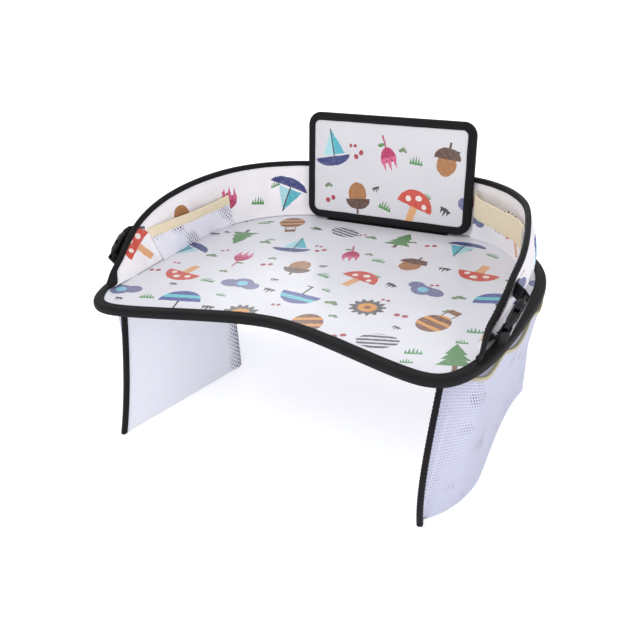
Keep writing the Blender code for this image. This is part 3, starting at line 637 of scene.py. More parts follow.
def motif_cells(w, flat, size, shift, unit, kinds, steps):
    """Staggered cells on the cloth: the place in the cell, in units, and the kind of shape there.

    Kinds follow each other by steps along and across. Each cell leans a little by chance, and
    every other one is upside down.
    """
    x, y = w.split(w.vector("DIVIDE", w.vector("ADD", flat, shift), (*size, 1)))
    row = w.math("FLOOR", y)
    x = w.math("MULTIPLY_ADD", w.math("FLOORED_MODULO", row, 2.0), 0.5, x)
    column = w.math("FLOOR", x)
    place = w.join(*[w.math("MULTIPLY", w.math("SUBTRACT", w.math("FRACT", value), 0.5), length / unit)
                     for value, length in zip((x, y), size)])
    order = w.math("MULTIPLY_ADD", column, float(steps[0]), w.math("MULTIPLY", row, float(steps[1])))
    kind = w.math("FLOORED_MODULO", order, float(kinds))
    chance = w.add("ShaderNodeTexWhiteNoise", {"Vector": w.join(column, row)}, noise_dimensions="2D")
    lean = w.math("MULTIPLY", w.math("SUBTRACT", chance.outputs["Value"], 0.5), 0.9)
    upset = w.math("MULTIPLY", w.math("FLOORED_MODULO", w.math("ADD", column, row), 2.0), math.pi)
    turned = w.add("ShaderNodeVectorRotate", {"Vector": place, "Angle": w.math("ADD", lean, upset)},
                   rotation_type="Z_AXIS")
    return turned.outputs["Vector"], kind


def printed_motifs():
    """Scattered small shapes in flat inks on a pale ground, as a nursery print has them."""
    w, given, out = new_group(
        "printed motifs", [("Ground", "Color", ink("E6E4EC")), ("Ink Strength", "Float", 0.9)], [("Color", "Color")])
    wobble = w.add("ShaderNodeTexNoise", {"Vector": given["Flat"], "Scale": 190.0, "Detail": 1.0})
    drift = w.vector("MULTIPLY", w.vector("SUBTRACT", wobble.outputs["Color"], (0.5, 0.5, 0.5)),
                     (0.0016, 0.0016, 0))
    flat = w.vector("ADD", given["Flat"], drift)
    # Each grid has its shapes, its cell's size, its shift, its unit, its kinds and their steps
    grids = ((small_motifs, (0.070, 0.054), (0.035, 0.004, 0), 0.0080, 4, (1, 3)),
             (small_motifs, (0.061, 0.047), (0.012, 0.031, 0), 0.0056, 4, (3, 1)),
             (main_motifs, (0.070, 0.054), (0, 0, 0), 0.0222, 10, (3, 4)))
    colour = given["Ground"]
    for make, *cells in grids:
        place, kind = motif_cells(w, flat, *cells)
        for number, layers in enumerate(make(Motif(w, place))):
            here = w.math("COMPARE", kind, float(number), 0.5)
            for value, code in layers:
                inside = w.math("MULTIPLY", w.math("LESS_THAN", value, 0.0), here)
                colour = w.mix(inside, colour, ink(code))
    worn = w.math("MULTIPLY_ADD", w.spots(given["Flat"], 260.0, 4.0), 0.35, -0.175)
    share = w.clamp(w.math("ADD", given["Ink Strength"], worn))
    w.feed(out["Color"], w.mix(share, given["Ground"], colour))


def plain_weave():
    """Threads over and under each other; Height is for bump, Shade darkens between them."""
    w, given, out = new_group(
        "plain weave", [("Pitch", "Float", 0.0005)], [("Height", "Float"), ("Shade", "Float")])
    turn = w.math("DIVIDE", math.pi, given["Pitch"])
    warp, weft = [w.math("SINE", w.math("MULTIPLY", value, turn)) for value in w.split(given["Flat"])]
    height = w.math("ABSOLUTE", w.math("MULTIPLY", warp, weft))
    uneven = w.spots(given["Flat"], 900.0)
    w.feed(out["Height"], w.math("MULTIPLY_ADD", uneven, 0.8, height))
    w.feed(out["Shade"], w.math("MULTIPLY_ADD", height, 0.5, w.math("MULTIPLY", uneven, 0.5)))


def tape_ribs():
    """Ribs across a tape, at an even pitch along it; Height is for bump, Shade darkens between them."""
    w, given, out = new_group(
        "tape ribs", [("Pitch", "Float", 0.0009)], [("Height", "Float"), ("Shade", "Float")])
    x, y = w.split(given["Flat"])
    rib = w.math("SINE", w.math("MULTIPLY", x, w.math("DIVIDE", math.tau, given["Pitch"])))
    cross = w.math("SINE", w.math("MULTIPLY", y, w.math("DIVIDE", 3 * math.tau, given["Pitch"])))
    uneven = w.spots(given["Flat"], 700.0, 3.0)
    height = w.math("MULTIPLY_ADD", w.math("MULTIPLY", cross, rib), 0.3, rib)
    w.feed(out["Height"], w.math("MULTIPLY_ADD", uneven, 1.2, height))
    w.feed(out["Shade"], w.math("MULTIPLY_ADD", rib, 0.25, uneven))


def knitted_holes():
    """Round holes in a staggered grid: Hole is 1 inside, Yarn the yarn's height, and the rim output is painted shade
    that darkens the yarn at each hole's edge.
    """
    w, given, out = new_group(
        "knitted holes",
        [("Pitch", "Float", 0.0024), ("Row Pitch", "Float", 0.0053), ("Size", "Float", 0.27)],
        [("Hole", "Float"), ("Yarn", "Float"), ("Rim Shade", "Float")])
    scaled = w.vector("DIVIDE", given["Flat"], w.join(given["Pitch"], given["Row Pitch"]))
    round_cell = w.join(1.0, w.math("MULTIPLY", w.math("DIVIDE", given["Row Pitch"], given["Pitch"]), 0.86))
    distances = []
    for shift in ((0, 0, 0), (0.5, 0.5, 0)):
        cell = w.vector("SUBTRACT", w.vector("FRACTION", w.vector("ADD", scaled, shift)), (0.5, 0.5, 0))
        distances.append(w.vector("LENGTH", w.vector("MULTIPLY", cell, round_cell)))
    near = w.gather("MINIMUM", distances)
    w.feed(out["Hole"], w.math("LESS_THAN", near, given["Size"]))
    w.feed(out["Yarn"], near)
    # painted shade: the yarn darkens towards each hole's edge
    rim = w.math("SUBTRACT", 1.0, w.math("MULTIPLY", w.math("SUBTRACT", near, given["Size"]), 9.0))
    w.feed(out["Rim Shade"], w.clamp(rim))


def new_material(name, constants):
    """A material, its wiring and its shader's sockets, with the values that are the same all over set."""
    material = bpy.data.materials.new(name)
    material.use_nodes = True
    shader = material.node_tree.nodes["Principled BSDF"].inputs
    for key, value in constants.items():
        shader[key].default_value = value
    return material, Wiring(material.node_tree), shader


def cloth_place(w):
    return w.add("ShaderNodeUVMap", uv_map="cloth").outputs[0]


def solid_place(w):
    return w.add("ShaderNodeTexCoord").outputs["Object"]


def effect(w, name, flat, values):
    """One of the shared effects, placed in a material with that material's own values."""
    return w.add("ShaderNodeGroup", {"Flat": flat, **values}, node_tree=bpy.data.node_groups[name]).outputs


def bump(w, shader, height, distance):
    w.feed(shader["Normal"], w.add("ShaderNodeBump", {"Height": height, "Distance": distance}).outputs[0])


def printed_cloth(name, ground, strength, roughness, coat, coat_roughness, crease):
    """Printed fabric, under a clear film where it has a coat."""
    material, w, shader = new_material(
        name, {"Coat Weight": coat, "Coat Roughness": coat_roughness, "Sheen Weight": 0.05})
    flat = cloth_place(w)
    motifs = effect(w, "printed motifs", flat, {"Ground": ink(ground), "Ink Strength": strength})
    weave = effect(w, "plain weave", flat, {"Pitch": 0.0007})
    tone = w.math("MULTIPLY_ADD", w.spots(flat, 22.0, 3.0), 0.10, 0.93)
    grey = w.add("ShaderNodeCombineColor", {"Red": tone, "Green": tone, "Blue": tone})
    w.feed(shader["Base Color"], w.mix(1.0, motifs["Color"], grey.outputs[0], "MULTIPLY"))
    w.feed(shader["Roughness"], w.math("MULTIPLY_ADD", w.spots(flat, 60.0, 3.0), 0.14, roughness - 0.07))
    creases = w.math("MULTIPLY", w.spots(flat, 34.0, 4.0), crease)
    bump(w, shader, w.math("MULTIPLY_ADD", weave["Height"], 0.00006, creases), 1.0)
    return material


def ribbed_tape(name, colour, pitch, roughness, depth):
    """Grosgrain, webbing or elastic, with ribs across it."""
    material, w, shader = new_material(name, {"Roughness": roughness, "Sheen Weight": 0.02, "Sheen Roughness": 0.4,
                                              "Specular IOR Level": 0.15})
    ribs = effect(w, "tape ribs", cloth_place(w), {"Pitch": pitch})
    w.feed(shader["Base Color"], w.mix(ribs["Shade"], shade_of(colour, 0.72), shade_of(colour, 1.18)))
    bump(w, shader, ribs["Height"], depth)
    return material


def knitted_mesh(name, colour, hole_shade_colour, pitches, closed, solid, clear, least, rear_edge=None):
    """Knitted mesh, pale all over; its holes show most in patches.

    The patches are where soft noise is above closed, and elsewhere the holes show by least. Where a
    rear edge is given, they show from that place along the cloth instead. The holes are partly open,
    and their dark colour is painted shade: the shaded inside seen through them. The yarn round each
    hole is darkened with painted shade too.
    """
    material, w, shader = new_material(name, {"Roughness": 0.7, "Sheen Weight": 0.15})
    flat = cloth_place(w)
    holes = effect(w, "knitted holes", flat, {"Pitch": pitches[0], "Row Pitch": pitches[1]})
    patch = w.math("MULTIPLY_ADD", w.spots(flat, 30.0), 7.0, -7.0 * closed)
    if rear_edge:
        past = w.math("SUBTRACT", w.split(flat)[0], rear_edge)
        patch = w.math("MULTIPLY_ADD", patch, 0.25, w.math("MULTIPLY", past, 62.0))
    patch = w.clamp(patch, least)
    # painted shade: open holes take a dark colour for the shaded inside seen through them, and let a little of what
    # is behind show
    open_and_shaded_hole = w.math("MULTIPLY", holes["Hole"], patch)
    # painted shade: the yarn darkens towards each hole's rim where the holes show
    yarn = w.mix(w.math("MULTIPLY", holes["Rim Shade"], patch), ink(colour), shade_of(colour, 0.90))
    w.feed(shader["Base Color"], w.mix(open_and_shaded_hole, yarn, ink(hole_shade_colour)))
    w.feed(shader["Alpha"], w.math("MULTIPLY_ADD", open_and_shaded_hole, -clear, solid))
    bump(w, shader, holes["Yarn"], 0.0003)
    return material


def moulded_plastic(name, colour, worn_colour):
    """Glossy moulded plastic with a faint orange-peel skin and rubbed places."""
    material, w, shader = new_material(
        name, {"Specular IOR Level": 0.28, "Coat Weight": 0.12, "Coat Roughness": 0.08})
    place = solid_place(w)
    rubbed = w.spots(place, 260.0, 4.0)
    w.feed(shader["Base Color"], w.mix(rubbed, ink(colour), ink(worn_colour)))
    w.feed(shader["Roughness"], w.math("MULTIPLY_ADD", rubbed, 0.16, 0.10))
    bump(w, shader, w.spots(place, 900.0), 0.00003)
    return material


def hook_tape(name, colour, tip_colour):
    """Hook or loop tape, a dense pile of fine bristles."""
    material, w, shader = new_material(name, {"Roughness": 0.95, "Sheen Weight": 0.4})
    pile = w.add("ShaderNodeTexVoronoi", {"Vector": cloth_place(w), "Scale": 1400.0}).outputs["Distance"]
    w.feed(shader["Base Color"], w.mix(pile, ink(tip_colour), ink(colour)))
    bump(w, shader, pile, 0.0006)
    return material


def pressed_board(name, colour, fibre_colour):
    """Grey board, with fibres and specks in it."""
    material, w, shader = new_material(name, {})
    fibre = w.spots(w.vector("MULTIPLY", solid_place(w), (1, 6, 1)), 180.0, 5.0)
    w.feed(shader["Base Color"], w.mix(fibre, ink(colour), ink(fibre_colour)))
    w.feed(shader["Roughness"], w.math("MULTIPLY_ADD", fibre, 0.2, 0.5))
    bump(w, shader, fibre, 0.0001)
    return material


def sewing_thread(name, colour):
    """Twisted thread, with painted shade between its strands."""
    material, w, shader = new_material(name, {"Roughness": 0.55})
    twist_shade = w.spots(solid_place(w), 2500.0, 1.0)
    # painted shade: darker between the strands, lighter on them
    w.feed(shader["Base Color"], w.mix(twist_shade, shade_of(colour, 0.7), shade_of(colour, 1.25)))
    bump(w, shader, twist_shade, 0.0001)
    return material


def woven_lining(name, colour):
    """Plain woven lining under the tray."""
    material, w, shader = new_material(name, {"Roughness": 0.85})
    flat = cloth_place(w)
    weave = effect(w, "plain weave", flat, {"Pitch": 0.0009})
    w.feed(shader["Base Color"], w.mix(weave["Shade"], shade_of(colour, 0.8), ink(colour)))
    bump(w, shader, w.math("MULTIPLY_ADD", w.spots(flat, 26.0, 3.0), 4.0, weave["Height"]), 0.00012)
    return material


def make_finishes():
    for make_effect in (printed_motifs, plain_weave, tape_ribs, knitted_holes):
        make_effect()
    finishes = (
        printed_cloth("tray print", "E4E3E9", strength=0.97, roughness=0.42, coat=0.35, coat_roughness=0.22,
                      crease=0.0009),
        printed_cloth("wall print", "F6F2F5", strength=0.97, roughness=0.62, coat=0.0, coat_roughness=0.3,
                      crease=0.0011),
        printed_cloth("panel print", "DAD8DC", strength=0.98, roughness=0.40, coat=0.30, coat_roughness=0.25,
                      crease=0.0006),
        ribbed_tape("binding", "1B1A1C", pitch=0.0010, roughness=0.62, depth=0.00012),
        ribbed_tape("webbing", "1E1D20", pitch=0.0016, roughness=0.6, depth=0.00022),
        ribbed_tape("elastic", "FFEFCF", pitch=0.0008, roughness=0.8, depth=0.00010),
        ribbed_tape("skirt elastic", "D2C9A8", pitch=0.0008, roughness=0.8, depth=0.00010),
        # each mesh's second colour is painted shade: the dark inside seen through its holes
        knitted_mesh("pocket mesh", "EDEBF6", "1F1F30", pitches=(0.0042, 0.0060), closed=0.49, solid=1.0,
                     clear=0.12, least=0.05),
        knitted_mesh("skirt mesh", "D8D9EE", "34344A", pitches=(0.0024, 0.0053), closed=0.53, solid=0.84,
                     clear=0.22, least=0.26),
        knitted_mesh("panel mesh", "F6F6FF", "2C2C42", pitches=(0.0058, 0.0052), closed=0.60, solid=0.95,
                     clear=0.10, least=0.03, rear_edge=-0.0215),
        moulded_plastic("plastic", "0C0C0E", "17171A"),
        hook_tape("hook tape", "1C1B1D", "3A383C"),
        pressed_board("board", "8E8D92", "A9A8AC"),
        sewing_thread("thread", "2B2A2D"),
        # grey: the seam's thread, and also painted shade for the shadow line along the wall's foot
        sewing_thread("seam thread and shade line", "A9A7B2"),
        sewing_thread("pale thread", "CFC6B0"),
        woven_lining("lining", "C9C9D0"),
    )
    return {material.name: material for material in finishes}


# Tray

def tray_outline(inset):
    """The tray's outline, counter-clockwise from the hollow's middle."""
    hollow = Vector((0, hollow_y, 0))
    widest = Vector((tray_half_width, widest_y, 0))
    back = Vector((0, back_y, 0))
    side_x = Vector((1, 0, 0))
    side_y = Vector((0, 1, 0))
    half = bezier(hollow, hollow + side_x * hollow_reach, lobe - side_x * lobe_inner_reach, lobe, outline_steps[0])
    half += bezier(lobe, lobe + side_x * lobe_outer_reach, widest - side_y * side_front_reach, widest,
                   outline_steps[1])
    half += bezier(widest, widest + side_y * side_back_reach, back + side_x * back_reach, back, outline_steps[2])
    loop = half + [back] + [mirrored(p) for p in half[:0:-1]]
    return [p - n * inset for p, n in zip(loop, outline_normals(loop))]


def outline_normals(loop):
    """Outward normals of a counter-clockwise loop."""
    normals = []
    for k in range(len(loop)):
        run = loop[(k + 1) % len(loop)] - loop[k - 1]
        normals.append(Vector((run.y, -run.x, 0)).normalized())
    return normals


def tree_of(points):
    tree = KDTree(len(points))
    for k, point in enumerate(points):
        tree.insert(Vector((point.x, point.y, 0)), k)
    tree.balance()
    return tree


def plate(loop, top, low_z, middle, rings):
    """A flat closed piece in an outline; top gives its upper face's height at a place."""
    shape = bmesh.new()
    shape.loops.layers.uv.new("cloth")
    rows = []
    for n in range(rings):
        share = 1 - (n / rings) ** 1.15
        places = [middle.lerp(point, share) for point in loop]
        rows.append([shape.verts.new((p.x, p.y, top(p))) for p in places])
    centre = shape.verts.new((middle.x, middle.y, top(middle)))
    low = [shape.verts.new((p.x, p.y, low_z)) for p in loop]
    count = len(loop)
    for first, second in zip([low] + rows, rows):
        for k in range(count):
            n = (k + 1) % count
            shape.faces.new((first[k], first[n], second[n], second[k]))
    for k in range(count):
        shape.faces.new((rows[-1][k], rows[-1][(k + 1) % count], centre))
    shape.faces.new(low[::-1])
    lay_flat(shape, shape.faces)
    return shape


def build_tray(finish):
    """The printed top, the lining and the binding; the top has a crown, held down along its seams."""
    edge = tray_outline(tape + clearance)
    seams = tree_of(tray_outline(tray_leg) + [p for station in whole_wall()
                                              for p in (station.foot, station.on_tray(station.thickness))]
                    + [Vector((x / 200 - 0.08, panel_front_y, 0)) for x in range(33)])

    def top(place):
        spot = Vector((place.x, place.y, 0))
        away = smooth_step(*tray_crown_span, seams.find(spot)[2])
        waves = 0.5 + 0.35 * ripple(spot, 0.045, 3) + 0.15 * ripple(spot, 0.016, 5)
        return tray_top_z + tray_puff * away * waves

    cover = make_piece("tray_play_surface", plate(edge, top, foam_z, tray_middle, 40), finish["tray print"])
    settle(cover, "base", "tray_top_cover", "tray_foam")
    lining = make_piece("tray_lining", plate(edge, lambda p: fabric, 0.0, tray_middle, 12), finish["lining"])
    settle(lining, "base", "tray_bottom_cover")
    slot = tray_top_z + 2 * clearance
    middle_z = tray_top_z / 2
    loop = tray_outline(0)
    section = tape_section(slot, tape, tray_leg, tray_bulge)
    rings = [tape_ring(section, tray_bulge, 1 + 0.03 * ripple(point, 0.02, 9),
                       lambda depth, side: point - normal * depth + Vector((0, 0, middle_z + side)))
             for point, normal in zip(loop, outline_normals(loop))]
    shape = loft(rings, along_and_across(rings, section, True), True)
    settle(make_piece("tray_edge_binding", shape, finish["binding"]), "base", "tray_binding")
    thread = Thread("tray_stitching", "base", finish["thread"])
    line = tray_outline(tray_leg - tray_stitch_inset)
    for side in (1, -1):
        z = middle_z + side * (slot / 2 + tape + clearance / 3)
        thread.sew([Vector((p.x, p.y, z)) for p in line + line[:1]], [Vector((0, 0, side))] * (len(line) + 1))
    thread.finish()


# Side wall

def wall_foot_line():
    """Right half of the wall's inner foot; its front end climbs on to the tray's binding."""
    centre = Vector((wall_half_width - wall_corner_radius, wall_back_y - wall_corner_radius, 0))
    ramp = Vector((0, 0, tape + clearance))
    points = [Vector((wall_half_width, wall_front_y, 0)) + ramp,
              Vector((wall_half_width, wall_ramp_high_y, 0)) + ramp,
              Vector((wall_half_width, wall_ramp_low_y, 0))]
    for k in range(wall_corner_steps + 1):
        angle = math.pi / 2 * k / wall_corner_steps
        points.append(centre + Vector((math.cos(angle), math.sin(angle), 0)) * wall_corner_radius)
    points.append(Vector((0, wall_back_y, 0)))
    return [p + Vector((0, 0, tray_top_z + clearance)) for p in points]


def wall_top_line():
    """Right half of the wall's top edge, rising from the front end and flat behind the panel."""
    points = bezier(wall_top_start, wall_top_rise_a, wall_top_rise_b, wall_top_side, wall_top_steps)
    points += bezier(wall_top_side, wall_top_bend_a, wall_top_bend_b, wall_top_back, wall_top_steps)
    return points + [wall_top_back, Vector((0, wall_top_back.y, wall_top_back.z))]


class WallStation:
    """One upright line of the wall's inner face, and the directions that its layers follow."""

    def __init__(self, foot, top, along, share):
        self.foot = foot
        self.top = top
        self.share = share
        fullness = smooth_step(*wall_thickens, share)
        self.thickness = wall_end_thickness + (wall_thickness - wall_end_thickness) * fullness
        self.up = (top - foot).normalized()
        self.height = (top - foot).length
        outward = Vector((along.y, -along.x, 0)).normalized()
        self.out = (outward - self.up * outward.dot(self.up)).normalized()

    def at(self, offset, height):
        """A point offset outwards and a distance up along the wall."""
        return self.foot + self.out * offset + self.up * height

    def on_tray(self, offset):
        """The foot point of a layer, cut level with the wall's foot."""
        shifted = self.foot + self.out * offset
        return shifted + self.up * ((self.foot.z - shifted.z) / self.up.z)


def wall_lean(share, side):
    """How far in the wall's top leans: soft sides stand as they were last folded, so the two differ."""
    lean, changes = ((right_wall_lean, right_wall_straightens) if side > 0
                     else (left_wall_lean, left_wall_straightens))
    for amount, start, end in changes:
        lean -= amount * smooth_step(start, end, share)
    return lean * hill(wall_lean_starts, wall_lean_ends, share)


def wall_stations(steps, first_share=0.0, last_share=1.0, side=1):
    """Stations between two shares of the half wall; side is 1 for right and -1 for left."""
    fine = wall_line_steps
    feet = resample(wall_foot_line(), fine)
    tops = resample(wall_top_line(), fine)
    stations = []
    for k in range(steps + 1):
        half_share = first_share + (last_share - first_share) * k / steps
        index = min(int(half_share * fine), fine - 1)
        share = half_share * fine - index
        foot = feet[index].lerp(feet[index + 1], share)
        top = tops[index].lerp(tops[index + 1], share)
        along = feet[min(index + 2, fine)] - feet[max(index - 1, 0)]
        outward = Vector((along.y, -along.x, 0)).normalized()
        top = top - outward * wall_lean(half_share, side)
        if side > 0:
            foot = foot + outward * wall_foot_reach * fade(*wall_foot_comes_in, half_share)
            top = top + outward * wall_end_reach * fade(*wall_end_comes_in, half_share)
        else:
            foot = mirrored(foot)
            top = mirrored(top)
            along = -mirrored(along)
        stations.append(WallStation(foot, top, along, half_share))
    return stations


def whole_wall():
    right = wall_stations(wall_steps)
    left = wall_stations(wall_steps, side=-1)
    return right + left[-2::-1]


def blow_up(item, freedom):
    """Puff the padded wall by cloth simulation; where freedom is 0 it is held, and elsewhere it is capped.

    Its cloth is a little too large, so that it creases.
    """
    rest = np.array([v.co for v in item.data.vertices])
    group = item.vertex_groups.new(name="seams")
    group.add([i for i, share in enumerate(freedom) if share == 0], 1.0, "REPLACE")
    cloth = item.modifiers.new("fabric", "CLOTH")
    settings = cloth.settings
    settings.quality = 7
    settings.mass = 0.15
    settings.tension_stiffness = settings.compression_stiffness = 12
    settings.shear_stiffness = 4
    settings.bending_stiffness = 0.4
    settings.use_pressure = True
    settings.uniform_pressure_force = wall_pressure
    settings.vertex_group_mass = group.name
    settings.shrink_min = settings.shrink_max = -wall_spare_cloth
    settings.effector_weights.gravity = 0
    cloth.collision_settings.use_collision = False
    scene = bpy.context.scene
    for number in range(1, wall_sim_frames + 1):
        scene.frame_set(number)
    graph = bpy.context.evaluated_depsgraph_get()
    blown = np.array([v.co for v in item.evaluated_get(graph).data.vertices])
    item.modifiers.remove(cloth)
    item.vertex_groups.remove(group)
    scene.frame_set(1)
    step = blown - rest
    far = np.linalg.norm(step, axis=1, keepdims=True)
    step *= wall_puff_cap * np.tanh(far / wall_puff_cap) / np.maximum(far, 1e-9) * np.array(freedom)[:, None]
    item.data.vertices.foreach_set("co", (rest + step).astype(np.float32).ravel())
    item.data.update()


def wall_ring(station):
    """One ring round the padded wall's section, and the heights of its points on either face."""
    height = station.height - (tape + clearance)
    lift = wall_end_lift if station.share == 0 else 0.0
    heights = [lift + (height - lift) * k / wall_levels for k in range(1, wall_levels + 1)]
    swell = wall_swell * hill(wall_swell_starts, wall_swell_ends, station.share)
    inner = [station.on_tray(0) + station.up * lift]
    outer = [station.on_tray(station.thickness) + station.up * lift]
    for h in heights:
        pinch = wall_pinch * smooth_step(height - wall_pinch_span[0], height - wall_pinch_span[1], h)
        fullness = math.sin(math.pi * (h / height) ** wall_swell_power)
        inner.append(station.at(pinch, h))
        outer.append(station.at(station.thickness - pinch + swell * fullness, h))
    return outer + inner[::-1], [0.0] + heights


def wall_freedom(stations, count):
    """How free each point is to swell: the seams, the front ends and the part behind the panel are held."""
    freedom = []
    for station in stations:
        free = smooth_step(*wall_puff_starts, station.share) * smooth_step(*beside_panel, abs(station.foot.x))
        height = station.height - (tape + clearance)
        for k in range(count):
            h = height * min(k, count - 1 - k) / wall_levels
            freedom.append(free * smooth_step(0, wall_hem, h)
                           * fade(height - wall_leg - below_tape, height - wall_leg, h))
    return freedom


def build_wall(finish):
    stations = whole_wall()
    rings = []
    flats = []
    for station, u in zip(stations, path_lengths([station.foot for station in stations])):
        ring, ups = wall_ring(station)
        rings.append(ring)
        flats.append([(u, v) for v in ups + ups[::-1] + [0.0]])
    item = make_piece("padded_wall", loft(rings, flats, capped=False), finish["wall print"], math.radians(60))
    close_ends(item, len(rings[0]))
    blow_up(item, wall_freedom(stations, len(rings[0])))
    settle(item, "base", "wall_inner_cover", "wall_core", "wall_outer_cover")
    build_wall_binding(stations, finish)


def close_ends(item, count):
    """Close the two open ends of a long thin shell with small faces across it."""
    shape = bmesh.new()
    shape.from_mesh(item.data)
    shape.verts.ensure_lookup_table()
    total = len(shape.verts)
    for start in (0, total - count):
        ring = [shape.verts[start + k] for k in range(count)]
        for k in range(count // 2 - 1):
            shape.faces.new((ring[k], ring[k + 1], ring[count - 2 - k], ring[count - 1 - k]))
    bmesh.ops.recalc_face_normals(shape, faces=shape.faces[:])
    shape.to_mesh(item.data)
    shape.free()


def build_wall_binding(stations, finish):
    """The tape over the wall's edge, the seam along its foot and the stitches below the tape."""
    section = tape_section(wall_thickness, tape, wall_leg, wall_bulge)
    rings = []
    for station in stations:
        whole = station.height - wall_end_gap
        leg = min(wall_leg, whole)
        leg += (whole - leg) * fade(*wall_leg_shortens, station.share)
        slot = station.thickness - 2 * wall_pinch + 2 * clearance
        fitted = tape_section(slot, tape, leg, min(wall_bulge, slot / 2 + tape * 0.8))
        rings.append(tape_ring(fitted, wall_bulge, 1 + 0.04 * ripple(station.top, 0.018, 2),
                               lambda depth, side: station.at(station.thickness / 2 + side,
                                                              station.height - depth)))
    shape = loft(rings, along_and_across(rings, section))
    for end, beside in ((0, 1), (-1, -2)):
        ahead = (stations[end].foot - stations[beside].foot).normalized()
        outline = rings[end][:-4]
        middle = sum(outline, Vector()) / len(outline)
        folds = [[p.lerp(middle, shrink) + ahead * lead for p in outline]
                 for lead, shrink in ((clearance / 2, 0.0), (tape * 0.8, 0.04), (tape * 1.3, 0.3))]
        add_shape(shape, loft(folds, along_and_across(folds, section[:-4])))
    settle(make_piece("wall_edge_binding", shape, finish["binding"]), "base", "wall_binding")
    turns = [math.tau / 6 * k for k in range(6)]
    seam = [[s.foot - s.out * seam_radius + (s.up * math.cos(a) - s.out * math.sin(a)) * seam_radius
             for a in turns] for s in stations[seam_start:-seam_start]]
    round_section = [(math.cos(a) * seam_radius, math.sin(a) * seam_radius) for a in turns]
    shape = loft(seam, along_and_across(seam, round_section))
    # the seam's grey is partly painted shade, for the shadow line along the wall's foot
    settle(make_piece("wall_foot_seam", shape, finish["seam thread and shade line"]), "base")
    thread = Thread("wall_stitching", "base", finish["thread"])
    sewn = stations[stitches_start:-stitches_start]
    for sign in (-1, 1):
        points = [s.at(s.thickness / 2 + sign * (s.thickness / 2 - wall_pinch + clearance + tape + clearance / 3),
                       s.height - min(wall_leg, s.height - wall_end_gap) + wall_stitch_inset) for s in sewn]
        thread.sew(points, [s.out * sign for s in sewn])
    thread.finish()


# Pockets on the inside of the wall

class InnerPocket:
    """A sheet on the wall's inner face that gapes open at its top.

    shares are where it starts and ends along the half wall, fullest is the share of its length
    where it gapes most, and a roundness below 1 makes it gape early on either side of that.
    """

    steps = 72
    levels = 14
    ripples = 0.03

    def __init__(self, name, side, shares, height, sag, gape, fullest, roundness, trim_height, material):
        self.name = name
        self.height = height
        self.sag = sag
        self.gape = gape
        self.skew = math.log(0.5) / math.log(fullest)
        self.roundness = roundness
        self.trim_height = trim_height
        self.material = material
        self.stations = wall_stations(self.steps, *shares, side)
        self.along = path_lengths([s.foot for s in self.stations])

    def top(self, share):
        wave = self.ripples * math.sin(5 * math.pi * share) * math.sin(math.pi * share)
        return self.height - self.sag * math.sin(math.pi * share) - self.gape * wave

    def surface(self, k, height, offset):
        """A point on the sheet's wall side, moved away from the wall by offset."""
        share = k / self.steps
        rise = min(height / self.top(share), 1.0)
        seam_gap = trim_tape + 3 * clearance
        fold = self.gape * 0.10 * ripple((share * 4, rise, 0), 0.35, 7) * math.sin(math.pi * share) * rise
        swell = math.sin(math.pi * share ** self.skew) ** self.roundness * self.gape * rise + fold
        return self.stations[k].at(-(seam_gap + swell + offset), height)

    def foot(self, k, offset):
        """The sheet's bottom edge, level with the wall's foot."""
        low = self.surface(k, 0, offset)
        up = self.stations[k].up
        return low + up * ((self.stations[k].foot.z - low.z) / up.z)

    def build_sheet(self):
        rings = []
        flats = []
        for k in range(self.steps + 1):
            top = self.top(k / self.steps) - clearance
            heights = [top * (level + 1) / self.levels for level in range(self.levels)]
            wall_side, room_side = [[self.foot(k, offset)] + [self.surface(k, h, offset) for h in heights]
                                    for offset in (0, fabric)]
            rings.append(wall_side + room_side[::-1])
            ups = [0.0] + heights
            flats.append([(self.along[k], v) for v in ups + ups[::-1] + [0.0]])
        item = make_piece(self.name + "_sheet", loft(rings, flats, capped=False), self.material)
        close_ends(item, len(rings[0]))
        return item

    def build_trim(self, material):
        """The wide elastic folded over the mouth's edge."""
        outer = clearance + trim_tape
        rings = []
        for k in range(self.steps + 1):
            top = self.top(k / self.steps)
            down = (top, top - self.trim_height / 2, top - self.trim_height)
            places = ([(h, fabric + outer) for h in down[::-1]]
                      + [(top + trim_tape, fabric), (top + trim_tape, 0)]
                      + [(h, -outer) for h in down] + [(h, -clearance) for h in down[::-1]]
                      + [(h, fabric + clearance) for h in down])
            rings.append([self.surface(k, height, offset) for height, offset in places])
        section = rings[self.steps // 2]
        return make_piece(self.name + "_elastic", loft(rings, along_and_across(rings, section)), material)

    def build(self, finish):
        trim = settle(self.build_trim(finish["elastic"]), "base", self.name + "_trim")
        sheet = settle(self.build_sheet(), "base", self.name)
        thread = Thread(self.name + "_stitching", "base", finish["pale thread"])
        rows = range(2, self.steps - 1)
        low = pocket_stitch_inset - self.trim_height
        points = [self.surface(k, self.top(k / self.steps) + low, fabric + clearance + trim_tape) for k in rows]
        thread.sew(points, [-self.stations[k].out for k in rows])
        seams = thread.finish()


def build_inner_pockets(finish):
    InnerPocket("left_pocket", -1, (0.200, 0.500), height=0.0375, sag=0.0020, gape=0.0078, fullest=0.50,
                roundness=0.85, trim_height=0.0098, material=finish["pocket mesh"]).build(finish)
    InnerPocket("right_pocket", 1, (0.450, 0.744), height=0.0515, sag=0.0030, gape=0.0190, fullest=0.80,
                roundness=0.55, trim_height=0.0268, material=finish["wall print"]).build(finish)


# Tablet panel

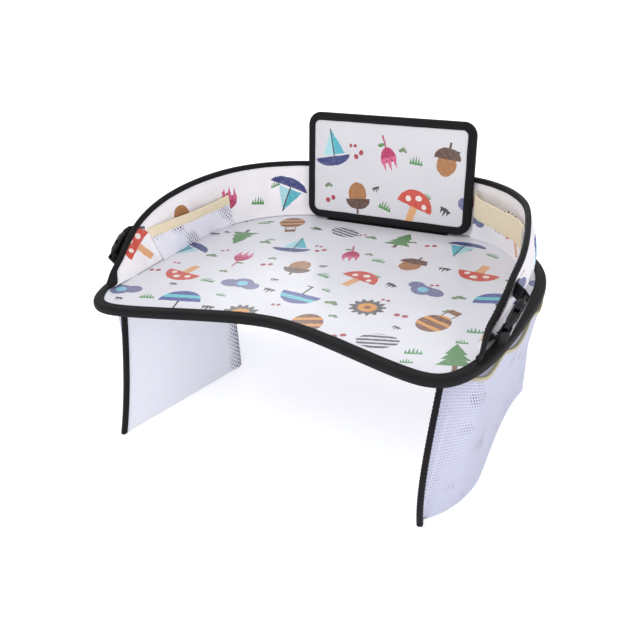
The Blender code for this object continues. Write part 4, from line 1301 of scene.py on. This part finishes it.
def rounded_rectangle(inset):
    """Counter-clockwise (x, z) outline of the panel with its bottom edge at z = 0 before the inset."""
    half = panel_width / 2 - panel_radius
    centres = ((half, panel_radius, -math.pi / 2), (half, panel_height - panel_radius, 0),
               (-half, panel_height - panel_radius, math.pi / 2), (-half, panel_radius, math.pi))
    turn = panel_radius - inset
    points = []
    for x, z, start in centres:
        for k in range(panel_corner_steps + 1):
            angle = start + math.pi / 2 * k / panel_corner_steps
            points.append(Vector((x + turn * math.cos(angle), 0, z + turn * math.sin(angle))))
    return points


def fill_edges(loop, spacing):
    """The loop with more points on its long straight sides."""
    result = []
    for first, second in zip(loop, loop[1:] + loop[:1]):
        count = max(int((second - first).length / spacing), 1)
        result += [first.lerp(second, k / count) for k in range(count)]
    return result


def stand_panel(shape):
    """Lean a piece modelled upright at the origin back about the hinge edge."""
    rear_drop = panel_thickness * math.sin(panel_tilt)
    hinge = Vector((0, panel_front_y, tray_top_z + fabric + 2 * clearance + rear_drop))
    shape.transform(Matrix.Translation(hinge) @ Matrix.Rotation(-panel_tilt, 4, "X"))
    return shape


def panel_cover(front, puff, seed, back):
    """A printed cover on the panel's board; puff lifts its middle and back is its flat side's depth."""
    loop = fill_edges(rounded_rectangle(tape + clearance), 0.006)
    flat_loop = [Vector((p.x, p.z, 0)) for p in loop]
    middle = Vector((0, panel_height / 2, 0))

    def top(place):
        near = min(panel_width / 2 - abs(place.x), panel_height / 2 - abs(place.y - middle.y)) - panel_leg
        waves = 0.6 + 0.4 * ripple((place.x, place.y, 0), 0.04, seed)
        return abs(front - back) + puff * smooth_step(*panel_crown_span, near) * waves

    shape = plate(flat_loop, top, 0.0, middle, 26)
    turn = 1 if front < back else -1
    shape.transform(Matrix(((1, 0, 0, 0), (0, 0, -turn, back), (0, 1, 0, 0), (0, 0, 0, 1))))
    return stand_panel(shape)


def build_panel(finish):
    """The panel's two covers, its binding and stitches, and the tapes that hold it."""
    front = tape + clearance
    back = panel_thickness - front
    shape = panel_cover(front, panel_puff, 11, front + fabric)
    cover = settle(make_piece("panel_face", shape, finish["panel print"]), "panel", "panel_front_cover")
    shape = panel_cover(back, 0.0, 12, back - fabric)
    cover = settle(make_piece("panel_rear", shape, finish["wall print"]), "panel", "panel_back_cover")
    section = tape_section(panel_stack + 2 * clearance, tape, panel_leg, panel_bulge)
    outer = rounded_rectangle(0)
    inner = rounded_rectangle(panel_radius / 2)
    edges = []
    for k, (edge, inset) in enumerate(zip(outer, inner)):
        following = (k + 1) % len(outer)
        count = max(int((outer[following] - edge).length / 0.005), 1)
        for n in range(count):
            place = edge.lerp(outer[following], n / count)
            edges.append((place, (inset.lerp(inner[following], n / count) - place).normalized()))
    rings = [tape_ring(section, panel_bulge, 1 + 0.04 * ripple(edge, 0.02, 4),
                       lambda depth, side: edge + inward * depth + Vector((0, panel_thickness / 2 + side, 0)))
             for edge, inward in edges]
    shape = stand_panel(loft(rings, along_and_across(rings, section, True), True))
    settle(make_piece("panel_edge_binding", shape, finish["binding"]), "panel", "panel_binding")
    thread = Thread("panel_stitching", "panel", finish["thread"])
    for side in (-1, 1):
        depth = panel_thickness / 2 + side * (panel_thickness / 2 + clearance / 3)
        line = [edge + inward * (panel_leg - panel_stitch_inset) + Vector((0, depth, 0)) for edge, inward in edges]
        thread.sew(line + line[:1], [Vector((0, side, 0))] * (len(line) + 1))
    stand_panel(thread.shape)
    thread.finish()
    build_grip(finish, back)
    build_hinge_tape(finish)


def strip_grid(corners, thickness, columns=44, rows=9):
    """A flat strip with softly uneven pile; corners run round its face, thickness is a vector."""
    low_a, low_b, high_b, high_a = corners
    rings = []
    for k in range(columns + 1):
        low = low_a.lerp(low_b, k / columns)
        high = high_a.lerp(high_b, k / columns)
        face = [low.lerp(high, n / rows) for n in range(rows + 1)]
        raised = []
        for n, point in enumerate(face):
            edge = 0.6 if n in (0, rows) or k in (0, columns) else 0.92 + 0.08 * ripple(point, 0.004, 1)
            raised.append(point + thickness * edge)
        rings.append(face + raised[::-1])
    width = (low_b - low_a).length
    height = (high_a - low_a).length
    ups = [height * n / rows for n in range(rows + 1)]
    flats = [[(width * k / columns, v) for v in ups + ups[::-1] + [0.0]] for k in range(columns + 1)]
    return loft(rings, flats)


def build_grip(finish, back):
    """The hook strip on the panel's back and the loop strip on the wall, facing each other."""
    low = panel_height * hook_share - hook_height / 2
    half = hook_width / 2
    corners = [Vector((x, back + clearance, z)) for x, z in ((-half, low), (half, low), (half, low + hook_height),
                                                             (-half, low + hook_height))]
    shape = stand_panel(strip_grid(corners, Vector((0, hook_thickness, 0))))
    settle(make_piece("hook_strip", shape, finish["hook tape"]), "panel", "panel_hook_strip")
    foot = Vector((0, wall_back_y, tray_top_z + clearance))
    top = Vector((0, wall_top_back.y, wall_top_back.z))
    station = WallStation(foot, top, Vector((-1, 0, 0)), 1.0)
    corners = [station.at(-clearance, height) + Vector((x, 0, 0))
               for x, height in ((half, low), (-half, low), (-half, low + hook_height), (half, low + hook_height))]
    shape = strip_grid(corners, -station.out * hook_thickness)
    settle(make_piece("loop_strip", shape, finish["hook tape"]), "base", "wall_loop_strip")


def build_hinge_tape(finish):
    z = tray_top_z + clearance
    far = panel_front_y + hinge_tape_depth
    half = hinge_tape_width / 2
    corners = [Vector((x, y, z))
               for x, y in ((half, panel_front_y), (-half, panel_front_y), (-half, far), (half, far))]
    shape = strip_grid(corners, Vector((0, 0, fabric)), rows=4)
    item = settle(make_piece("hinge_tape", shape, finish["binding"]), "base", "panel_hinge_tape")


# Mesh pockets below the tray

def skirt_run(front):
    """Which way the inner panel runs from a point on its front edge."""
    return (skirt_rear_inner - front).normalized()


def skirt_line(start, curve):
    """A straight lead beside the inner panel, then a curve resampled at even steps."""
    lead = start + skirt_run(start) * skirt_lead
    return [start] + resample([lead] + curve, skirt_side_steps - 1)


def skirt_top_line():
    """Top edge of the right outer sheet: it bends out to the tray's rim and follows it."""
    rim = [p for p in tray_outline(skirt_rim_inset)[::4]
           if p.x > lobe.x and skirt_rim_start_y < p.y < skirt_rear_outer_top.y - skirt_lead]
    ahead = skirt_run(skirt_front_top) * skirt_lead
    lead = skirt_front_top + ahead
    along = (rim[1] - rim[0]).normalized() * skirt_lead
    bend = bezier(lead, lead + ahead / 2, rim[0] - along, rim[0], 20)
    return skirt_line(skirt_front_top, bend[1:] + rim + [skirt_rear_outer_top])


def skirt_bottom_line():
    """Bottom edge of the right outer sheet, a soft S from the front to the rear corner."""
    lead = skirt_front_bottom + skirt_run(skirt_front_bottom) * skirt_lead
    side = skirt_side_bottom
    rear = skirt_rear_outer_bottom
    bend = bezier(lead, lead + skirt_front_handle, side - skirt_side_handles[0], side, 20)
    bend += bezier(side, side + skirt_side_handles[1], rear - skirt_rear_handle, rear, 20)
    return skirt_line(skirt_front_bottom, bend[1:] + [rear])


def skirt_height(level_share):
    return skirt_bottom_z + (skirt_top_z - skirt_bottom_z) * level_share


class SkirtPocket:
    """One mesh pocket: a straight inner panel and an outer sheet that goes round to its rear edge.

    bow is how far its front edge bows forwards, lean how far that edge leans in at half height,
    leg its binding's width, and narrow how much of that the binding loses towards the floor.
    """

    def __init__(self, name, side, bow, leg, lean=0.0, narrow=0.0):
        self.name = name
        self.side = side
        self.front_bow = bow
        self.leg = leg
        self.inward = Vector((-lean, 0, 0))
        self.narrow = narrow

        self.tops = skirt_top_line()
        self.bottoms = skirt_bottom_line()
        inner_gap = mesh + skirt_gap
        rear_end = skirt_rear_inner + Vector((inner_gap, 0, 0))
        for k in range(1, skirt_rear_steps + 1):
            share = k / skirt_rear_steps
            self.tops.append(skirt_rear_outer_top.lerp(rear_end, share))
            self.bottoms.append(skirt_rear_outer_bottom.lerp(rear_end, share))
        for line in (self.tops, self.bottoms):
            run = (line[1] - line[0]).normalized()
            beside = Vector((run.y, -run.x, 0)) * inner_gap
            line[0] = line[0] + beside
            line[1] = line[1] + beside

    def place(self, point):
        return point if self.side > 0 else mirrored(point)

    def bow(self, level_share, fade_share):
        """How the hanging front edge bows and leans between its ends, fading along the sheet."""
        run = skirt_run(skirt_front_bottom.lerp(skirt_front_top, level_share))
        lower = 1 + 0.35 * (1 - 2 * level_share)
        middle = 4 * level_share * (1 - level_share)
        return (self.inward - run * self.front_bow) * middle * lower * max(fade_share, 0.0)

    def slack(self, k):
        """How far the mouth hangs free of the rim, from 0 where it is sewn on to 1 in a bow's middle."""
        wave = abs(math.sin(skirt_bows * math.pi * min(k, skirt_side_steps) / skirt_side_steps)) ** 1.15
        if k < skirt_side_steps / (2 * skirt_bows):
            return skirt_corner_slack + (1 - skirt_corner_slack) * wave
        return wave

    def rim_sag(self, k):
        """The mouth hangs below the rim in bows, and the rear edge reaches the tray."""
        if k >= skirt_side_steps:
            return 0.0
        return trim_tape + clearance + skirt_sag * self.slack(k)

    def sheet_point(self, k, level_share, offset):
        """A point on the outer sheet: level 0 is the bottom edge, 1 the top edge."""
        count = len(self.tops)
        z = skirt_bottom_z + (skirt_top_z - self.rim_sag(k) - skirt_bottom_z) * level_share
        before = self.tops[max(k - 1, 0)] + self.bottoms[max(k - 1, 0)]
        after = self.tops[min(k + 1, count - 1)] + self.bottoms[min(k + 1, count - 1)]
        run = after - before
        outward = Vector((run.y, -run.x, 0)).normalized()
        flare = skirt_flare * self.slack(k) * level_share**4
        point = (self.bottoms[k].lerp(self.tops[k], level_share) + outward * (offset + flare)
                 + self.bow(level_share, 1 - k / skirt_levels))
        return self.place(Vector((point.x, point.y, z)))

    def outer_grid(self):
        """Fine columns of points on the outer sheet's middle surface, and their flat places."""
        levels = [level / skirt_levels for level in range(skirt_levels + 1)]
        coarse = [[self.sheet_point(k, share, -mesh / 2) for share in levels] for k in range(len(self.tops))]
        side = refine(coarse[:skirt_side_steps + 1], skirt_refining)
        rear = refine(coarse[skirt_side_steps:], skirt_refining)
        columns = [spline(column, skirt_refining) for column in side + rear[1:]]
        across = path_lengths([column[len(column) // 2] for column in columns])
        for i, column in enumerate(columns):
            for k in range(1, len(column) - 1):
                share = k / (len(column) - 1)
                free = 4 * share * (1 - share) * smooth_step(0.012, 0.05, across[i])
                free *= smooth_step(0.0, 0.03, across[-1] - across[i])
                fold = skirt_fold * ripple((across[i], share * 0.05, 0), 0.030, 21 + self.side)
                column[k] = column[k] + Vector((self.side * fold * free, 0, 0))
        flats = [[(u, column[k].z - skirt_bottom_z) for k in range(len(column))]
                 for u, column in zip(across, columns)]
        return columns, flats

    def build(self, finish):
        columns, flats = self.outer_grid()
        shape = loft(columns, flats, closed_section=False)
        foot = [column[0] for column in columns]
        self.add_floor(shape, foot)
        sheet = make_piece(self.name + "_knit_pocket", shape, finish["skirt mesh"])
        settle(sheet, "base", self.name + "_mesh_pocket")
        panel, panel_length = self.build_panel(finish)
        trim = self.build_trim(finish)
        binding, seams = self.build_binding(finish)

    def add_floor(self, shape, line):
        """The flat floor, sewn to the outer sheet's bottom edge and to the inner panel's foot."""
        lengths = path_lengths(line)
        inner = [line[0].lerp(line[-1], length / lengths[-1]) for length in lengths]
        rows = []
        for n in range(floor_rows + 1):
            places = [point.lerp(end, n / floor_rows) for point, end in zip(line, inner)]
            rows.append([shape.verts.new((p.x, p.y, skirt_bottom_z)) for p in places])
        faces = [shape.faces.new((near[k], near[k + 1], far[k + 1], far[k]))
                 for near, far in zip(rows, rows[1:]) for k in range(len(line) - 1)]
        lay_flat(shape, faces)
        bmesh.ops.remove_doubles(shape, verts=shape.verts[:], dist=0.00002)

    def build_panel(self, finish):
        """The straight inner panel, from the front binding to the rear edge, and its length."""
        rings = []
        for share in [n / inner_panel_columns for n in range(inner_panel_columns + 1)]:
            column = []
            for level_share in [level / skirt_front_levels for level in range(skirt_front_levels + 1)]:
                front = skirt_front_bottom.lerp(skirt_front_top, level_share)
                point = front.lerp(skirt_rear_inner, share) + self.bow(level_share, 1 - share * 2)
                free = 16 * share * (1 - share) * level_share * (1 - level_share)
                point.x += 0.0008 * free * ripple((share * 0.2, level_share * 0.1, 0), 0.05, 31) - mesh / 2
                point.z = skirt_height(level_share)
                if share == 1:
                    column.append(self.sheet_point(len(self.tops) - 1, level_share, -mesh / 2))
                else:
                    column.append(self.place(point))
            rings.append(column)
        across = path_lengths([ring[skirt_front_levels // 2] for ring in rings])
        flats = [[(u - across[-1], p.z - skirt_bottom_z) for p in ring] for u, ring in zip(across, rings)]
        item = make_piece(self.name + "_knit_panel", loft(rings, flats, closed_section=False), finish["panel mesh"])
        return settle(item, "base", self.name + "_mesh_panel"), across[-1]

    def build_trim(self, finish):
        """The cream elastic over the mouth's edge."""
        section = folded_trim(mesh + 3 * clearance, trim_tape, skirt_trim_leg)
        rings = []
        for k in range(1, skirt_side_steps):
            top = self.sheet_point(k, 1, -mesh / 2)
            low = self.sheet_point(k, 1 - 1 / skirt_levels, -mesh / 2)
            down = (low - top).normalized()
            out = (self.sheet_point(k, 1, mesh) - self.sheet_point(k, 1, 0)).normalized()
            lift = trim_tape + clearance
            rings.append([top + down * (depth - lift) + out * side for depth, side in section])
        rings[0] = [first.lerp(second, 0.15) for first, second in zip(rings[0], rings[1])]
        rings = refine(rings, skirt_refining)
        item = make_piece(self.name + "_mouth_elastic", loft(rings, along_and_across(rings, section)),
                          finish["skirt elastic"])
        return settle(item, "base", self.name + "_mesh_pocket_trim")

    def build_binding(self, finish):
        """The folded tape over the front edges of both mesh layers, and its stitches."""
        slot = 2 * mesh + skirt_gap + 3 * clearance
        section = tape_section(slot, tape, self.leg, skirt_bulge)
        rings = []
        stitches = {1: [], -1: []}
        outs = []
        for share in [level / skirt_front_levels for level in range(skirt_front_levels + 1)]:
            point = skirt_front_bottom.lerp(skirt_front_top, share)
            run = skirt_run(point)
            outward = Vector((run.y, -run.x, 0))
            base = point - run * (tape + 2 * clearance) + outward * skirt_gap / 2 + self.bow(share, 1)
            base.z = skirt_height(share)
            width = 1 - self.narrow * (1 - share)
            rings.append(tape_ring(section, skirt_bulge, width,
                                   lambda depth, side: self.place(base + run * depth + outward * side)))
            outs.append(self.place(outward))
            for side, line in stitches.items():
                offset = side * (slot / 2 + tape + clearance / 3)
                line.append(self.place(base + run * (self.leg * width - skirt_stitch_inset) + outward * offset))
        shape = loft(rings, along_and_across(rings, section))
        item = settle(make_piece(self.name + "_front_binding", shape, finish["binding"]), "base",
                      self.name + "_skirt_binding")
        thread = Thread(self.name + "_front_stitching", "base", finish["thread"])
        for side, line in stitches.items():
            thread.sew(line, [out * side for out in outs])
        return item, thread.finish()


def folded_trim(slot, wall, leg):
    """A thin folded tape's section, with a softly rounded fold."""
    half = slot / 2 + wall
    return ([(leg, -half)] + fold_arcs(half, wall, 3)
            + [(leg, half), (leg, slot / 2), (wall, slot / 2), (wall, -slot / 2), (leg, -slot / 2)])


def build_skirts(finish):
    SkirtPocket("right", 1, right_skirt_bow, right_skirt_leg, right_skirt_lean, right_skirt_narrow).build(finish)
    SkirtPocket("left", -1, left_skirt_bow, left_skirt_leg).build(finish)


# Straps and side-release buckles


def wall_side_x(stations, y, z, lift):
    """Where the wall's outer face is at a place on its side, with a lift off it."""
    before = None
    for station in stations:
        offset = station.thickness + lift
        low = station.at(offset, 0)
        point = station.at(offset, (z - low.z) / station.up.z)
        if before and before.y <= y <= point.y:
            return before.lerp(point, (y - before.y) / (point.y - before.y)).x
        before = point
    return before.x


class Straps:
    """The webbing on both halves of a buckle, in the buckle's own frame.

    Local X runs across the webbing, Y away from the wall and Z from the socket to the plug.
    """

    def __init__(self, name, side):
        self.name = name
        self.side = side
        self.wall = wall_stations(60, 0.0, 0.6, side)
        out = Vector((side * math.cos(buckle_lean), 0, -math.sin(buckle_lean)))
        rise = Vector((side * math.sin(buckle_lean), 0, math.cos(buckle_lean)))
        pull = Vector((0, 1, 0)) * math.cos(buckle_slope) + rise * math.sin(buckle_slope)
        axes = Matrix((out.cross(pull), out, pull)).transposed()
        mouth = Vector((side * buckle_mouth.x, buckle_mouth.y, buckle_mouth.z))
        self.frame = Matrix.Translation(mouth) @ axes.to_4x4()

    def loop_line(self, end, direction):
        """Centre line of a strap's loop round the bar at one end of the buckle."""
        bar_middle = end - direction * bar_thickness / 2
        half_strap = web_thickness / 2
        over = buckle_end_thickness / 2 + clearance + half_strap
        past = bar_middle + direction * (bar_thickness / 2 + clearance + half_strap)
        slot_middle = end - direction * (bar_thickness + bar_slot / 2)
        tail_end = end + direction * web_tail
        line = [(tail_end, -over - clearance), (past, -over), (slot_middle + direction * web_bend, -over),
                (slot_middle, -over + web_bend), (slot_middle, over - web_bend),
                (slot_middle + direction * web_bend, over), (past, over),
                (tail_end, -over + web_thickness + clearance)]
        return [Vector((0, y, z)) for z, y in line]

    def on_wall(self, y, z, lift):
        """A point on the wall's outer face, lifted off it."""
        return Vector((wall_side_x(self.wall, y, z, lift), y, z))

    def sewn_rings(self, direction, start, end_places, shares):
        """Rings from the buckle to where the strap is sewn to the wall; shares are along that stretch."""

        lifts = (clearance, clearance + web_thickness)
        near_side, far_side = lifts if direction > 0 else lifts[::-1]
        starts = [self.frame @ Vector((x, 0, start)) for x in (web_width / 2, -web_width / 2)]
        ends = end_places if self.side > 0 else end_places[::-1]
        rings = []
        for share in shares:
            first, second = [(begin.y + (y - begin.y) * share, begin.z + (z - begin.z) * share)
                             for begin, (y, z) in zip(starts, ends)]
            rings.append([self.on_wall(*first, near_side), self.on_wall(*second, near_side),
                          self.on_wall(*second, far_side), self.on_wall(*first, far_side)])
        return rings

    def build_strap(self, piece, node, body, end, direction, end_places, shares, finish):
        """One strap, from its loop to its sewn end; one on a plug rides on no body, and its solid is hidden."""
        line = self.loop_line(end, direction)
        across = Vector((web_width / 2, 0, 0))
        loop = []
        for k, point in enumerate(line):
            before = (point - line[max(k - 1, 0)]).normalized()
            after = (line[min(k + 1, len(line) - 1)] - point).normalized()
            run = (before + after).normalized()
            normal = Vector((0, -run.z, run.y))
            straight = after if after.length > 0 else before
            reach = normal * web_thickness / 2 / normal.dot(Vector((0, -straight.z, straight.y)))
            loop.append([self.frame @ (point + offset) for offset in (reach + across, reach - across,
                                                                      -reach - across, -reach + across)])
        start = end + direction * (web_tail + 3 * web_thickness)
        rings = loop + refine(self.sewn_rings(direction, start, end_places, shares), 3)
        shares = [n / web_columns for n in range(web_columns + 1)]
        wide = [[a.lerp(b, share) for share in shares] + [c.lerp(d, share) for share in shares]
                for a, b, c, d in rings]
        section = ([(share * web_width, 0) for share in shares]
                   + [(web_width - share * web_width, web_thickness) for share in shares])
        item = make_piece(piece, loft(wide, along_and_across(wide, section)), finish["webbing"])
        if body == "base":
            return settle(item, body, node)
        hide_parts(node)
        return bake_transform(item)

    def build(self, finish):
        name = self.name
        self.build_strap(name + "_plug_webbing", name + "_upper_strap", name + "_plug", plug_length, 1,
                         upper_strap_sewn, (0.5, 0.75, 1.0), finish)
        self.build_strap(name + "_socket_webbing", name + "_lower_strap", "base", -socket_length, -1,
                         lower_strap_sewn, (1.0,), finish)


def dress_solid(name, material, bevel=0.0):
    """A better finish, and softened edges, on a solid that keeps its shape."""
    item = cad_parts[name]
    item.data.materials.clear()
    item.data.materials.append(material)
    if bevel:
        softened = item.modifiers.new("softened edges", "BEVEL")
        softened.width = bevel
        softened.segments = 3
        softened.limit_method = "ANGLE"
        softened.angle_limit = math.radians(35)
        softened.harden_normals = False


# Studio

def seen_as(w, kinds, plain, seen):
    """A plain shader for the rays that carry light, and another for those by which it is seen."""
    rays = w.add("ShaderNodeLightPath").outputs
    either = w.add("ShaderNodeMixShader", {"Fac": w.gather("MAXIMUM", [rays[f"Is {kind} Ray"] for kind in kinds])})
    w.feed(either.inputs[1], plain)
    w.feed(either.inputs[2], seen)
    return either.outputs[0]


def plain_floor():
    bpy.ops.mesh.primitive_plane_add(size=12, location=(0, 0, -0.0008))
    floor = bpy.context.object
    floor.name = "studio_floor"
    material = bpy.data.materials.new("floor paper")
    material.use_nodes = True
    material.node_tree.nodes.clear()
    w = Wiring(material.node_tree)
    paper = w.add("ShaderNodeBsdfDiffuse", {"Color": (0.9, 0.9, 0.91, 1)}).outputs[0]
    glow = w.add("ShaderNodeEmission", {"Color": (1, 1, 1, 1), "Strength": 0.40}).outputs[0]
    both = w.add("ShaderNodeAddShader", {0: paper, 1: glow}).outputs[0]
    w.add("ShaderNodeOutputMaterial", {"Surface": seen_as(w, ("Camera", "Glossy", "Transmission"), paper, both)})
    floor.data.materials.append(material)


def studio_world():
    world = bpy.data.worlds.new("studio")
    bpy.context.scene.world = world
    world.use_nodes = True
    world.node_tree.nodes.clear()
    w = Wiring(world.node_tree)
    soft = w.add("ShaderNodeBackground", {"Color": (0.95, 0.965, 1.0, 1), "Strength": 0.86}).outputs[0]
    white = w.add("ShaderNodeBackground", {"Color": (1, 1, 1, 1), "Strength": 1.0}).outputs[0]
    w.add("ShaderNodeOutputWorld", {"Surface": seen_as(w, ("Camera", "Transmission"), soft, white)})


def soft_lamp(name, place, size, power, target=(0, 0, 0.15)):
    lamp = bpy.data.lights.new(name, "AREA")
    lamp.size = size
    lamp.energy = power
    item = bpy.data.objects.new(name, lamp)
    item.location = place
    item.rotation_euler = (Vector(target) - Vector(place)).to_track_quat("-Z", "Y").to_euler()
    bpy.context.scene.collection.objects.link(item)


def photo_camera():
    """The photograph's viewpoint: three angles in radians, and how far off and aside it stands."""

    azimuth, elevation, roll = 0.5242484, 0.4767137, -0.0610865
    distance, across, up = 0.7930027, 0.0047241, -0.0293421
    back = Vector((math.sin(azimuth) * math.cos(elevation), -math.cos(azimuth) * math.cos(elevation),
                   math.sin(elevation)))
    right = Vector((math.cos(azimuth), math.sin(azimuth), 0))
    rows = Matrix((right, back.cross(right), back))
    rows = Matrix.Rotation(-roll, 3, "Z") @ rows
    data = bpy.data.cameras.new("photo camera")
    data.sensor_width = camera_sensor
    data.lens = camera_lens
    data.clip_start = 0.01
    item = bpy.data.objects.new("photo camera", data)
    place = rows[0] * across + rows[1] * up + rows[2] * distance + base_shift
    item.matrix_world = Matrix.Translation(place) @ rows.transposed().to_4x4()
    bpy.context.scene.collection.objects.link(item)
    bpy.context.scene.camera = item


def main():
    scene = bpy.context.scene
    scene.view_settings.view_transform = "Standard"
    finish = make_finishes()
    build_tray(finish)
    build_wall(finish)
    build_inner_pockets(finish)
    build_panel(finish)
    build_skirts(finish)
    for name, side in (("right", 1), ("left", -1)):
        Straps(name, side).build(finish)
        dress_solid(name + "_buckle_socket", finish["plastic"], plastic_bevel)
        dress_solid(name + "_buckle_plug", finish["plastic"], plastic_bevel)
    dress_solid("tray_board", finish["board"])
    dress_solid("panel_board", finish["board"])
    plain_floor()
    studio_world()
    soft_lamp("key", (-0.9, -1.3, 1.9), 1.2, 7.5)
    soft_lamp("side", (1.6, -0.9, 0.5), 1.0, 6)
    soft_lamp("front", (0.3, -1.5, 0.25), 0.8, 5, (-0.1, 0, 0.08))
    soft_lamp("back", (-0.75, 1.35, 0.9), 0.8, 5)
    photo_camera()


main()
